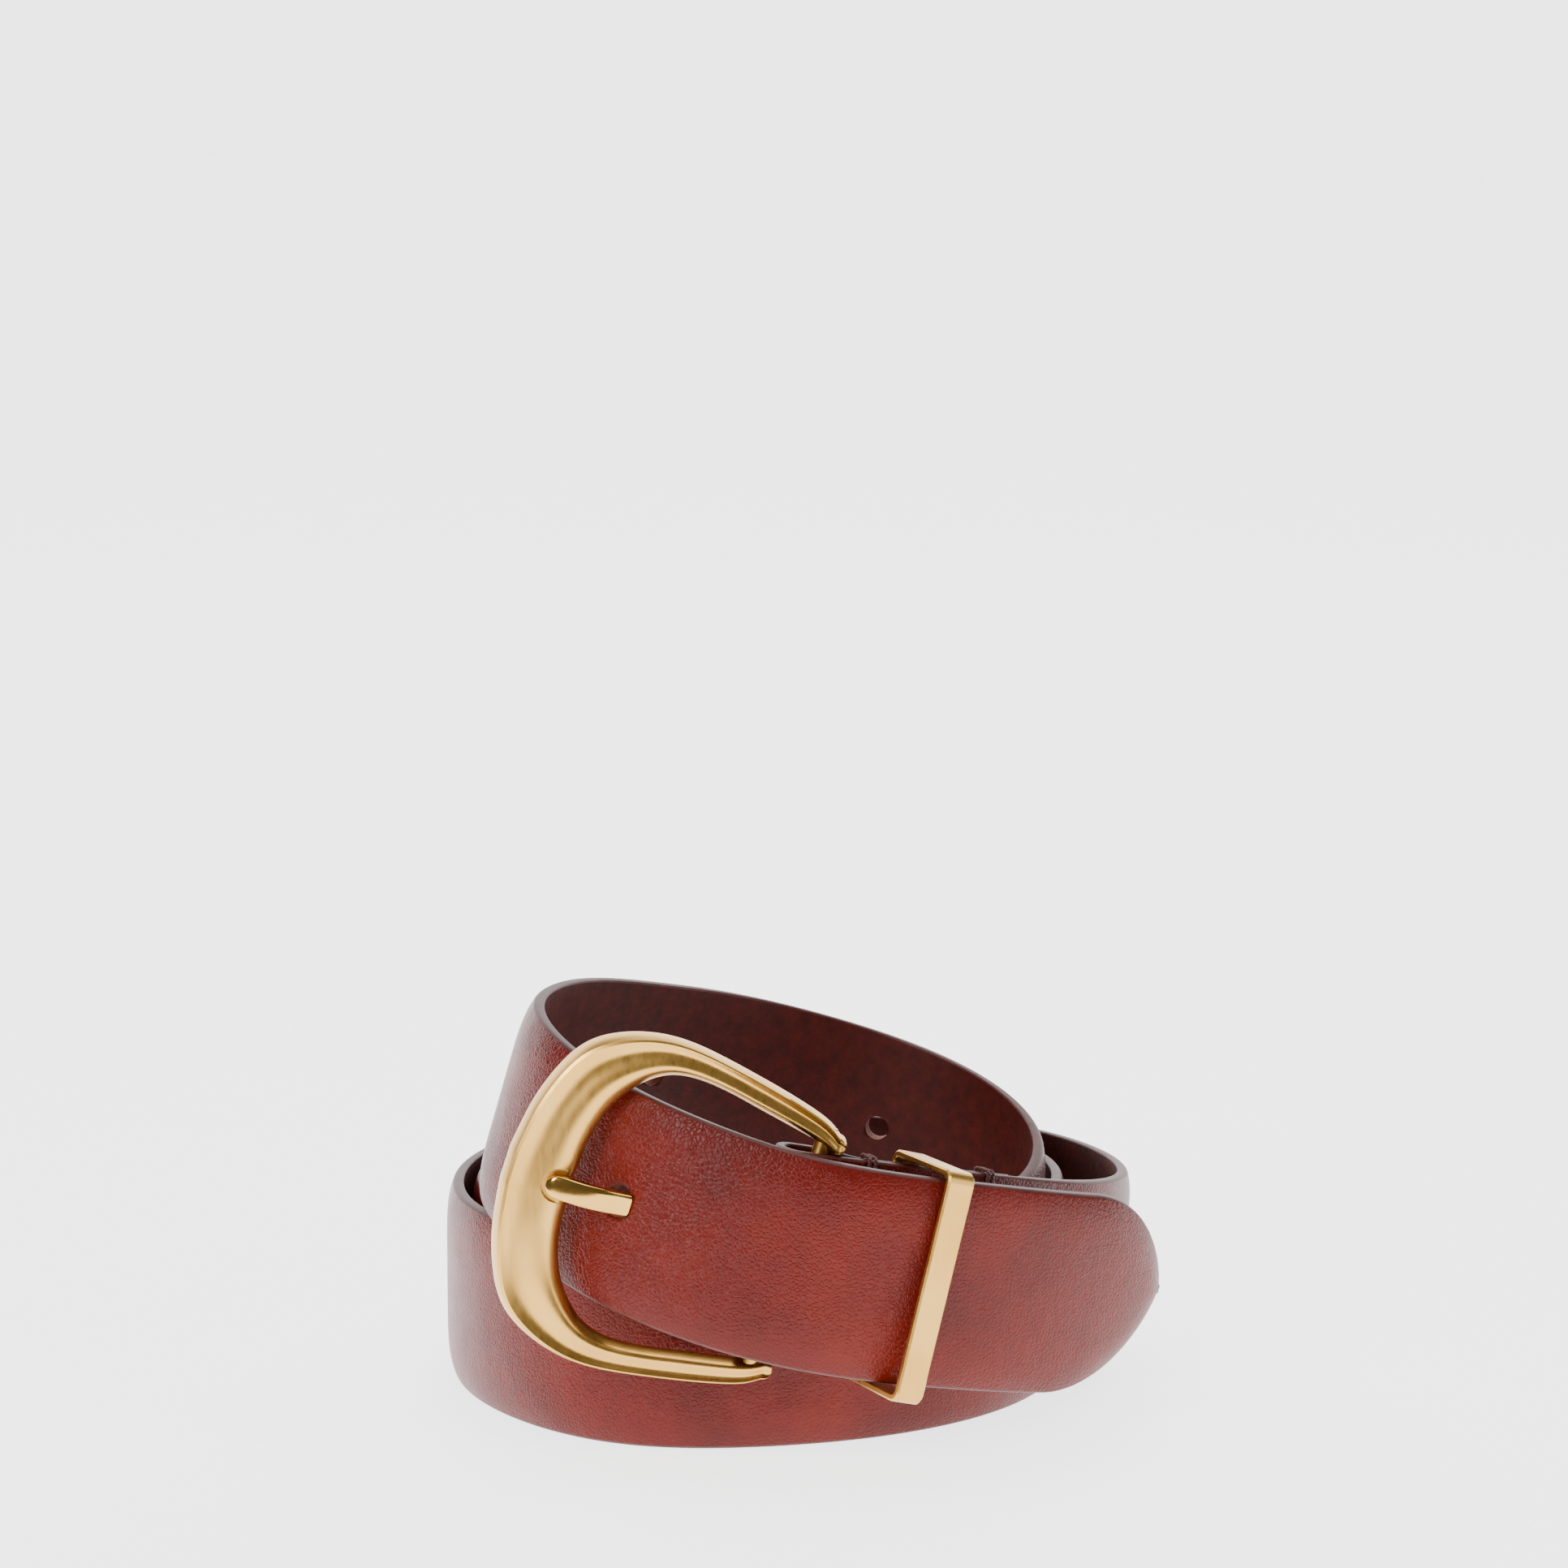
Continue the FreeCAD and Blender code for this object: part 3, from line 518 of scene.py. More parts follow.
@dataclass(frozen=True)
class FleshLeather:
    """The strap's inside: matt, short-napped and mottled."""

    name: str = "leather_lining"
    dark: Colour = (0.030, 0.0016, 0.0006)
    light: Colour = (0.066, 0.0044, 0.0014)

    def material(self) -> bpy.types.Material:
        """Make the finish."""
        g = Graph(self.name)
        colour = g.ramp(g.noise(300.0, 5.0, 0.7), [(0.32, self.dark), (0.7, self.light)])
        nap = g.noise(900.0, 4.0, 0.65)
        pits = g.noise(2400.0, 2.0, 0.5)
        normal = g.bump(nap, 0.00012, 0.7)
        normal = g.bump(pits, 0.00003, 0.5, normal)
        gloss = g.ramp(nap, [(0.3, 0.62), (0.7, 0.5)])
        return g.set(Base_Color=colour, Roughness=gloss, Normal=normal, Specular_IOR_Level=0.2)


@dataclass(frozen=True)
class EdgePaint:
    """Rubbed edge paint."""

    name: str = "edge_paint"
    dark: Colour = (0.042, 0.0040, 0.0028)
    light: Colour = (0.095, 0.012, 0.008)

    def material(self) -> bpy.types.Material:
        """Make the finish."""
        g = Graph(self.name)
        colour = g.ramp(g.noise(260.0, 4.0, 0.6), [(0.3, self.dark), (0.72, self.light)])
        normal = g.bump(g.noise(700.0, 3.0, 0.6), 0.00008, 0.5)
        return g.set(Base_Color=colour, Roughness=0.5, Normal=normal, Specular_IOR_Level=0.4)


@dataclass(frozen=True)
class RawLeather:
    """Cut wall of a punched hole."""

    name: str = "leather_raw"
    dark: Colour = (0.12, 0.025, 0.010)
    light: Colour = (0.30, 0.080, 0.030)

    def material(self) -> bpy.types.Material:
        """Make the finish."""
        g = Graph(self.name)
        colour = g.ramp(g.noise(900.0, 3.0, 0.6), [(0.3, self.dark), (0.7, self.light)])
        normal = g.bump(g.noise(1600.0, 3.0, 0.6), 0.0001, 0.6)
        return g.set(Base_Color=colour, Roughness=0.8, Normal=normal)


@dataclass(frozen=True)
class PaleGold:
    """Pale gold plate, brushed along one direction or polished."""

    name: str = "gold_satin"
    base: Colour = (0.62, 0.34, 0.075)
    light: Colour = (0.72, 0.42, 0.11)
    roughness: tuple = (0.26, 0.36)
    brush: tuple = (1.0, 1.0, 1.0)
    relief: float = 0.00001
    polished: bool = False

    def material(self) -> bpy.types.Material:
        """Make the finish."""
        g = Graph(self.name)
        strokes = g.noise(1500.0, 3.0, 0.6, place=g.stretched(self.brush))
        colour = g.ramp(g.noise(60.0, 3.0), [(0.3, self.base), (0.7, self.light)])
        gloss = g.ramp(strokes, [(0.25, self.roughness[0]), (0.75, self.roughness[1])])
        normal = g.bump(strokes, self.relief, 0.5)
        return g.set(Base_Color=colour, Metallic=1.0, Roughness=gloss, Normal=normal)


@dataclass(frozen=True)
class WaxedThread:
    """Waxed sewing thread."""

    name: str = "thread_waxed"
    dark: Colour = (0.05, 0.004, 0.002)
    light: Colour = (0.13, 0.014, 0.006)

    def material(self) -> bpy.types.Material:
        """Make the finish."""
        g = Graph(self.name)
        fibres = g.noise(4000.0, 3.0, 0.6)
        colour = g.ramp(fibres, [(0.3, self.dark), (0.7, self.light)])
        normal = g.bump(fibres, 0.00004, 0.6)
        return g.set(Base_Color=colour, Roughness=0.55, Normal=normal, Sheen_Weight=0.2)


@dataclass(frozen=True)
class StudioPaper:
    """Plain white sweep the belt stands on."""

    name: str = "studio_paper"
    tone: float = 0.86
    glow: float = 2.6

    def material(self) -> bpy.types.Material:
        """Make the finish."""
        g = Graph(self.name)
        shade = g.ramp(g.noise(30.0, 2.0), [(0.3, self.tone), (0.7, self.tone + 0.01)])
        return g.set(Base_Color=shade, Roughness=0.85, Specular_IOR_Level=0.1,
                     Emission_Color=(1.0, 1.0, 1.0, 1.0), Emission_Strength=self.glow)


class Zone(Enum):
    """Material numbers on the strap."""

    FACE = 0
    EDGE = 1
    INSIDE = 2
    WALL = 3


# ---------------------------------------------------------------- the buckle's place
@dataclass
class BucklePlace:
    """The buckle's axes: x to the closed end, y up the bar, n to the front."""

    line: CoilLine
    yaw: float = -16.5
    roll: float = 6.5
    bar_depth: float = 2.0

    def __post_init__(self) -> None:
        """Work out the axes from the strap's first place."""
        first = self.line.places(self.line.first_angle)
        along, up, out = first.along[0], first.up[0], first.out[0]
        yaw, roll = math.radians(self.yaw), math.radians(self.roll)
        reach = -along * math.cos(yaw) + out * math.sin(yaw)
        self.front = out * math.cos(yaw) + along * math.sin(yaw)
        self.x = reach * math.cos(roll) + up * math.sin(roll)
        self.y = up * math.cos(roll) - reach * math.sin(roll)
        self.origin = first.point[0] - out * self.bar_depth

    def at(self, x: np.ndarray, y: np.ndarray, n: np.ndarray) -> np.ndarray:
        """Points in millimetres at places on the buckle."""
        x, y, n = (np.asarray(q, float)[..., None] for q in (x, y, n))
        return self.origin + self.x * x + self.y * y + self.front * n


# ---------------------------------------------------------------- strap
@dataclass
class Strap:
    """The belt's strap: fold round the bar, three turns, tip, holes."""

    line: CoilLine
    buckle: BucklePlace
    edge: float = 2.0
    crown: float = 1.6
    lining: float = 0.7
    flap: float = 46.0
    ply_gap: float = 0.15
    eye: float = 2.7
    eye_shift: float = 1.9
    eye_run: float = 3.5
    eye_pinch: float = 10.5
    row_step: float = 0.8
    hole_radius: float = 2.5
    used_hole_radius: float = 3.1
    hole_pitch: float = 27.3
    hole_count: int = 7
    used_hole_angle: float = 1059.2
    round_out: float = 0.6
    round_in: float = 0.4
    fold_swell: float = 0.5
    slot_half: float = 3.6
    slot_reach: float = 7.9
    slot_back: float = 10.0
    slot_deep: float = 5.5

    def fold(self) -> tuple[Places, np.ndarray]:
        """Places along the flap and round the bar.

        Returns:
            The places and their lengths from the bar, below zero on the flap.
        """
        runs = self.flap * (1.0 - np.linspace(0.0, 1.0, 70)) ** 1.2
        base = self.line.places(self.line.angle_at(runs))
        closing = smooth_step((runs - self.eye_run) / (self.eye_pinch - self.eye_run))
        opening = 2.0 * self.eye + (self.ply_gap - 2.0 * self.eye) * closing
        points = base.point + base.out * (2.0 * self.lining - opening)[:, None]
        flap = Places(points, -base.along, base.up, -base.out)
        first = self.line.places(self.line.first_angle)
        a = np.pi * (1.0 - np.linspace(0.0, 1.0, 25))[:, None]
        out = first.out * np.cos(a) - first.along * np.sin(a)
        end = first.point - first.along * self.eye_shift + first.out * (self.lining - self.eye)
        count = len(a)
        turn = Places(end + out * (self.eye - self.lining), np.repeat(first.along, count, 0),
                      np.repeat(first.up, count, 0), out)
        return flap.joined(turn), np.concatenate([-runs - 8.0, np.linspace(-8.0, 0.0, count)])

    def outline_distance(self, runs: np.ndarray, across: np.ndarray) -> np.ndarray:
        """Distance from the strap's outline to points on it.

        Args:
            runs: Length from the bar, per row.
            across: Distance from the middle, per row and column.

        Returns:
            Distances, as across.
        """
        half = self.line.half_width(runs)[:, None]
        near = half - np.abs(across)
        start = self.line.run_at(self.line.shoulder_angle)
        tip = np.nonzero(runs > start - 22.0)[0]
        end = start + self.line.tip_length
        u = start + self.line.tip_length * np.sin(np.linspace(0.0, 0.5 * math.pi, 160))
        outline = np.stack([u, self.line.half_width(u)], -1)
        outline = np.concatenate([outline, [[end, 0.0]]])
        for i in tip:
            points = np.stack([np.full(across.shape[1], runs[i]), np.abs(across[i])], -1)
            gaps = np.linalg.norm(points[:, None] - outline[None], axis=-1).min(1)
            near[i] = np.minimum(near[i], gaps)
        return np.maximum(near, 0.0)

    def rows(self) -> tuple[np.ndarray, np.ndarray, np.ndarray]:
        """Rings of points across the strap.

        Returns:
            Points in millimetres, the zone of each column, and how near the outline each point is, for the
            painted shade there.
        """
        fold, fold_runs = self.fold()
        start = self.line.run_at(self.line.first_angle + 2.0)
        shoulder = self.line.run_at(self.line.shoulder_angle)
        body = np.arange(start, shoulder, self.row_step)
        t = 1.0 - (1.0 - np.linspace(0.0, 1.0, 60)[:-1]) ** 1.8
        tip = shoulder + self.line.tip_length * np.concatenate([t, [1.0]])
        runs = np.concatenate([body, tip])
        places = fold.joined(self.line.places(self.line.angle_at(runs)))
        runs = np.concatenate([fold_runs, runs])
        lined = smooth_step((runs - self.flap - 2.0) / 0.8)
        low = self.lining * (1.0 - lined)
        half = self.line.half_width(np.maximum(runs, 0.0))

        ro, ri = self.round_out, self.round_in
        q = np.linspace(-1.0, 1.0, 41)
        face = np.sign(q) * (1.0 - (1.0 - np.abs(q)) ** 1.35)
        arc = np.linspace(0.0, 0.5 * math.pi, 6)
        columns = []                       # share of half width, inset, kind, height in the corner
        for share in face:
            columns.append((share, -ro * np.sign(share) * abs(share) ** 30, "face", 0.0))
        for a in arc[1:]:
            columns.append((1.0, -ro * (1.0 - math.sin(a)), "out", -ro * (1.0 - math.cos(a))))
        for a in arc[:-1]:
            columns.append((1.0, -ri * (1.0 - math.cos(a)), "in", ri * (1.0 - math.sin(a))))
        for share in np.linspace(1.0, -1.0, 17):
            columns.append((share, -ri * np.sign(share) * abs(share) ** 30, "inside", 0.0))
        for a in arc[::-1][:-1]:
            columns.append((-1.0, ri * (1.0 - math.cos(a)), "in", ri * (1.0 - math.sin(a))))
        for a in arc[::-1][:-1]:
            columns.append((-1.0, ro * (1.0 - math.sin(a)), "out", -ro * (1.0 - math.cos(a))))
        share = np.array([c[0] for c in columns])
        inset = np.array([c[1] for c in columns])
        kinds = np.array([c[2] for c in columns])
        corner = np.array([c[3] for c in columns])
        squeeze = np.clip(half / 2.0, 0.3, 1.0)[:, None]
        across = half[:, None] * share + inset * squeeze
        near = self.outline_distance(runs, np.clip(across, -half[:, None], half[:, None]))
        swell = smooth_step((runs - self.flap - 2.0) / 25.0)[:, None]
        rise = self.crown * swell * (1.0 - np.clip(1.0 - near / 20.0, 0.0, 1.0) ** 6)
        rise = rise + self.fold_swell * smooth_step((runs + 22.0) / 12.0)[:, None] * (runs <= 0.0)[:, None]
        top = self.edge + np.where(np.isin(kinds, ["face", "out"]), rise, 0.0) + corner
        bottom = low[:, None] + corner
        off = np.where(np.isin(kinds, ["face", "out"]), top, bottom)
        points = places.at(across, off)
        zone = np.array([{"face": Zone.FACE.value, "out": Zone.EDGE.value, "in": Zone.EDGE.value,
                          "inside": Zone.INSIDE.value}[k] for k in kinds])
        # nearness to the outline, which the leather uses for painted shade
        rim_shade = np.clip(1.0 - near / 5.0, 0.0, 1.0)
        return points, zone, rim_shade

    def punches(self) -> list:
        """Cutters for the holes along the strap."""
        zero = self.line.run_at(self.used_hole_angle)
        cutters = []
        for i in range(self.hole_count):
            place = self.line.places(self.line.angle_at(zero - i * self.hole_pitch))
            radius = self.used_hole_radius if i == 0 else self.hole_radius
            cutters.append(MeshMaker.pin("punch", place.at(0.0, -2.0)[0], place.out[0], radius, 8.0))
        return cutters

    def build(self) -> bpy.types.Object:
        """Make the strap.

        Returns:
            The strap's object.
        """
        points, zone, rim_shade = self.rows()
        obj = MeshMaker.tube("strap", points, zone)
        # store that nearness for the painted shade in the leather
        layer = obj.data.attributes.new("rim_shade", "FLOAT", "POINT")
        layer.data.foreach_set("value", rim_shade.reshape(-1))
        return obj

    def dress(self, obj: bpy.types.Object, rooms: list) -> None:
        """Give the strap its finishes and cut its holes.

        Args:
            obj: The strap.
            rooms: More cutters, for what passes through the strap.
        """
        wall = RawLeather().material()
        for finish in (GlazedLeather(), EdgePaint(), FleshLeather()):
            obj.data.materials.append(finish.material())
        obj.data.materials.append(wall)
        cutters = self.punches() + [self.buckle_room()] + rooms
        for cutter in cutters:
            cutter.data.materials.append(wall)
        MeshMaker.cut(obj, cutters)
        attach(obj, "strap")
        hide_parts("strap_skin", "strap_lining", "strap_filler")

    def buckle_room(self) -> bpy.types.Object:
        """Cutter for the slot in the fold that the prong's eye sits in."""
        first = self.line.places(self.line.first_angle)
        along, up, out = first.along[0], first.up[0], first.out[0]
        middle = self.buckle.at(0.0, 0.5, 0.0)
        half, reach, back, deep = self.slot_half, self.slot_reach, self.slot_back, self.slot_deep
        corners = ((-half, -deep), (half, -deep), (half, deep), (-half, deep))
        rows = [[middle + along * x + up * y + out * n for y, n in corners] for x in (-reach, back)]
        return MeshMaker.tube("slot_cutter", np.array(rows), np.zeros(4, int), shade=False)


# ---------------------------------------------------------------- studio
@dataclass
class Studio:
    """Sweep, lights and camera."""

    line: CoilLine
    eye: tuple = (5.29, -777.9, 216.2)
    pitch: float = 6.981
    lens: float = 89.6
    floor_front: float = -420.0
    floor_back: float = 1500.0
    floor_half: float = 3200.0
    sweep_radius: float = 900.0
    wall_height: float = 2600.0
    surround: float = 0.16

    def build(self) -> None:
        """Set up the studio."""
        self.sweep()
        self.camera()
        self.lights()

    def sweep(self) -> None:
        """Pale floor that curves up into a wall."""
        profile = [(self.floor_front, 0.0), (self.floor_back, 0.0)]
        for a in np.linspace(0.0, 0.5 * math.pi, 24)[1:]:
            rise = self.sweep_radius * (1.0 - math.cos(a))
            profile.append((self.floor_back + self.sweep_radius * math.sin(a), rise))
        profile.append((self.floor_back + self.sweep_radius, self.wall_height))
        verts = [(x * MM, y * MM, z * MM) for y, z in profile for x in (-self.floor_half, self.floor_half)]
        faces = [(2 * i, 2 * i + 1, 2 * i + 3, 2 * i + 2) for i in range(len(profile) - 1)]
        mesh = bpy.data.meshes.new("sweep")
        mesh.from_pydata(verts, [], faces)
        mesh.shade_smooth()
        obj = bpy.data.objects.new("sweep", mesh)
        obj.data.materials.append(StudioPaper().material())
        bpy.context.scene.collection.objects.link(obj)

    def camera(self) -> None:
        """Camera in front of the buckle, looking slightly down."""
        data = bpy.data.cameras.new("camera")
        data.lens = self.lens
        data.sensor_width = 36.0
        data.clip_end = 20.0
        obj = bpy.data.objects.new("camera", data)
        obj.location = (Vector(self.eye) + Vector(self.line.shift)) * MM
        obj.rotation_euler = (math.radians(90.0 - self.pitch), 0.0, 0.0)
        bpy.context.scene.collection.objects.link(obj)
        bpy.context.scene.camera = obj

    def lights(self) -> None:
        """Soft boxes and a pale surround."""
        world = bpy.data.worlds.new("surround")
        world.use_nodes = True
        background = world.node_tree.nodes["Background"]
        background.inputs[0].default_value = (1.0, 1.0, 1.0, 1.0)
        background.inputs[1].default_value = self.surround
        bpy.context.scene.world = world
        for name, where, width, height, power in (
                ("key_box", (-0.75, -0.95, 0.75), 0.4, 0.9, 15.0),
                ("top_box", (0.1, 0.1, 1.3), 1.0, 0.8, 10.0),
                ("side_box", (1.1, -0.55, 0.5), 0.3, 0.9, 3.0)):
            data = bpy.data.lights.new(name, "AREA")
            data.shape = "RECTANGLE"
            data.size, data.size_y, data.energy = width, height, power
            obj = bpy.data.objects.new(name, data)
            obj.location = where
            aim = Vector((0.0, 0.0, 0.04)) - Vector(where)
            obj.rotation_euler = aim.to_track_quat("-Z", "Y").to_euler()
            bpy.context.scene.collection.objects.link(obj)


# ---------------------------------------------------------------- buckle
@dataclass
class BuckleFrame:
    """Cast frame: two arms that widen into a domed closed end."""

    place: BucklePlace
    reach: float = 55.5
    half: float = 32.0
    end_width: float = 12.8
    arm_width: float = 5.3
    back: float = 2.0
    crown: float = 2.7
    arm_back: float = 2.6
    tip_round: float = 1.7
    bar_radius: float = 1.75
    seat_radius: float = 3.3
    seat_x: float = 44.5
    seat_y: float = -0.8
    seat_floor: float = 2.0

    def line(self) -> list:
        """Half of the outer line: along, height share, width share, heading."""
        r, b = self.reach, self.arm_back
        return [(-b, 0.757, -0.16, 90.0), (-1.0, 0.792, -0.12, 90.0), (2.0, 0.835, -0.07, 90.0),
                (0.145 * r, 0.887, -0.02, 91.0), (0.25 * r, 0.927, 0.0, 92.0), (0.37 * r, 0.967, 0.01, 92.0),
                (0.505 * r, 1.0, 0.11, 86.0), (0.632 * r, 0.993, 0.34, 74.0), (0.755 * r, 0.931, 0.68, 62.0),
                (0.86 * r, 0.81, 0.94, 50.0), (0.927 * r, 0.622, 1.0, 38.0), (0.967 * r, 0.42, 1.0, 26.0),
                (0.985 * r, 0.256, 1.0, 16.0), (0.997 * r, 0.1, 1.0, 6.0)]

    def section(self, x: float, y: float, share: float, heading: float, shrink: float, slip: float) -> list:
        """One ring of points round the casting.

        Args:
            x: Place along the frame.
            y: Height from its axis.
            share: Width, as a share of the way from arm to closed end.
            heading: Direction across, degrees.
            shrink: Size of the ring, 1 for whole.
            slip: How far the ring moves past the arm's end.

        Returns:
            Points in millimetres.
        """
        width = self.arm_width + (self.end_width - self.arm_width) * share
        a = math.radians(heading)
        sign = 1.0 if y >= 0 else -1.0
        dx, dy = -math.cos(a) * width, -math.sin(a) * width * sign
        end = min(1.0, max(0.0, share))
        thin = 1.0 + 0.6 * min(share, 0.0)
        crest = (self.crown - 0.3 * (1.0 - end)) * thin
        inner, outer, back = (0.2 + 0.7 * end) * thin, (0.3 - 0.5 * end) * thin, self.back * thin
        s = np.linspace(0.0, 1.0, 21)
        dome = NaturalCurve([0.0, 0.04, 0.24, 0.6, 0.9, 1.0],
                            [outer, outer + 0.62 * (crest - outer), crest + 0.1, crest + 0.25,
                             inner + 0.72 * (crest - inner), inner]).at(s)
        under = [(1.02, 0.5 * (inner - back)), (1.0, 0.4 - back), (0.96, -back), (0.5, -back),
                 (0.06, -back), (0.01, 0.5 - back), (-0.01, 0.5 * (outer - back))]
        profile = list(zip(s, dome)) + under
        points = []
        for share_s, n in profile:
            share_s = 0.5 + (share_s - 0.5) * shrink
            n = 0.3 + (n - 0.3) * shrink
            points.append(self.place.at(x + dx * share_s - slip, y + dy * share_s, n))
        return points

    def build(self) -> bpy.types.Object:
        """Make the frame.

        Returns:
            The frame's object.
        """
        table = np.array(self.line())
        place = np.arange(len(table), dtype=float)
        curves = [NaturalCurve(place, table[:, c]) for c in range(4)]
        steps = np.linspace(0.0, len(table) - 1.0, 150)
        half = [[float(c.at(q)) for c in curves] for q in steps]
        ends = np.sin(np.linspace(0.0, 0.5 * math.pi, 9))[1:]
        rounds = [(math.sqrt(max(0.0025, 1.0 - e * e)), self.tip_round * float(e)) for e in ends[::-1]]
        rows = []
        for shrink, slip in rounds:
            x, share_y, share, heading = half[0]
            rows.append(self.section(x, self.half * share_y, share, heading, shrink, slip))
        for sign, line in ((1.0, half), (-1.0, half[::-1])):
            rows += [self.section(x, sign * self.half * y, share, heading, 1.0, 0.0)
                     for x, y, share, heading in line]
        for shrink, slip in rounds[::-1]:
            x, share_y, share, heading = half[0]
            rows.append(self.section(x, -self.half * share_y, share, heading, shrink, slip))
        rows = np.array(rows)
        obj = MeshMaker.tube("buckle_casting", rows, np.zeros(rows.shape[1], int))
        seat_floor = self.place.at(self.seat_x, self.seat_y, self.seat_floor)
        seat = MeshMaker.pin("seat", seat_floor, self.place.front, self.seat_radius, 8.0)
        mouth = self.block(self.seat_x - 20.0, self.seat_x, self.seat_y, self.seat_radius, self.seat_floor,
                           self.seat_floor + 8.0)
        socket_half = 0.83 * self.half - 1.4
        socket_low = self.place.at(0.0, -socket_half, 0.0)
        socket = MeshMaker.pin("socket", socket_low, self.place.y, self.bar_radius + 0.1, 2.0 * socket_half)
        MeshMaker.cut(obj, [seat, mouth, socket])
        MeshMaker.crisp(obj)
        return obj

    def block(self, x0: float, x1: float, y: float, half: float, n0: float, n1: float) -> bpy.types.Object:
        """Cutter with square corners on the buckle's axes."""
        rows = [[self.place.at(x, y + v, n) for v, n in ((-half, n0), (half, n0), (half, n1), (-half, n1))]
                for x in (x0, x1)]
        return MeshMaker.tube("mouth", np.array(rows), np.zeros(4, int), shade=False)

    def dress(self, obj: bpy.types.Object) -> None:
        """Give the frame its brushed plate."""
        MeshMaker.clothe(obj, PaleGold(brush=(1.0, 1.0, 0.1)).material())
        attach(obj, "frame")
        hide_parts("buckle_frame")


@dataclass
class Prong:
    """Polished prong: a blade that dips behind the strap and an eye round the bar."""

    place: BucklePlace
    width: float = 4.6
    thick: float = 2.6
    reach: float = 46.8
    y_bar: float = 0.5
    y_end: float = -0.8
    eye_inner: float = 1.95
    eye_wall: float = 1.7
    eye_width: float = 5.2

    def line(self) -> list:
        """Rows of the blade: along, height, width share, thickness share."""
        e = self.reach
        return [(1.2, 1.9, 1.0, 1.0), (4.0, 1.5, 1.0, 1.0), (9.0, 0.9, 1.0, 1.0), (15.0, 0.5, 1.0, 1.0),
                (20.0, 0.2, 1.0, 1.0), (24.0, 0.2, 1.0, 1.0), (28.0, 0.7, 1.0, 1.0), (32.0, 2.2, 1.0, 1.0),
                (36.0, 3.9, 1.0, 1.0), (40.0, 4.4, 1.0, 1.0), (e - 3.0, 4.0, 1.0, 0.95),
                (e - 1.6, 3.8, 0.93, 0.88), (e - 0.6, 3.65, 0.72, 0.75), (e, 3.55, 0.4, 0.5)]

    def ring(self, x: float, n: float, wide: float, thick: float, spare: float = 0.0) -> list:
        """One ring round the blade: flat with softly rounded corners.

        Args:
            x: Place along the buckle.
            n: Height of the blade's middle.
            wide: Width share.
            thick: Thickness share.
            spare: Room added on every side.

        Returns:
            Points in millimetres.
        """
        c = self.y_bar + (self.y_end - self.y_bar) * x / self.reach
        w, h = 0.5 * self.width * wide + spare, 0.5 * self.thick * thick + spare
        points = []
        for a in np.linspace(0.0, 2.0 * math.pi, 28, endpoint=False):
            ca, sa = math.cos(a), math.sin(a)
            y = c + w * math.copysign(abs(ca) ** 0.45, ca)
            v = n + h * math.copysign(abs(sa) ** 0.6, sa)
            points.append(self.place.at(x, y, v))
        return points

    def blade(self, name: str, first: float, spare: float = 0.0) -> bpy.types.Object:
        """Closed blade from a place along the buckle to its end.

        Args:
            name: Object name.
            first: Where it starts.
            spare: Room added on every side.

        Returns:
            The blade.
        """
        table = np.array(self.line())
        curves = [NaturalCurve(table[:, 0], table[:, c]) for c in (1, 2, 3)]
        body = np.linspace(first, self.reach - 3.0, 70)
        end = self.reach - 3.0 + 3.0 * np.sin(np.linspace(0.0, 0.5 * math.pi, 12))[1:]
        rows = []
        for x in np.concatenate([body, end]):
            n, wide, thick = (float(c.at(x)) for c in curves)
            rows.append(self.ring(float(x), n, min(1.0, wide), min(1.0, thick), spare))
        rows = np.array(rows)
        return MeshMaker.tube(name, rows, np.zeros(rows.shape[1], int), shade=False)

    def build(self) -> bpy.types.Object:
        """Make the prong.

        Returns:
            The prong's object.
        """
        obj = self.blade("prong_blade", 1.2)
        low = self.place.at(0.0, self.y_bar - 0.5 * self.eye_width, 0.0)
        eye = MeshMaker.pin("eye", low, self.place.y, self.eye_inner + self.eye_wall, self.eye_width)
        MeshMaker.cut(obj, [eye], "UNION")
        below = low - self.place.y * 20.0
        bore = MeshMaker.pin("bore", below, self.place.y, self.eye_inner, self.eye_width + 40.0)
        MeshMaker.cut(obj, [bore])
        MeshMaker.crisp(obj)
        return obj

    def dress(self, obj: bpy.types.Object) -> None:
        """Give the prong its polish."""
        finish = PaleGold(name="gold_polished", roughness=(0.1, 0.16), relief=0.000002)
        MeshMaker.clothe(obj, finish.material())
        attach(obj, "prong")
        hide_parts("prong")


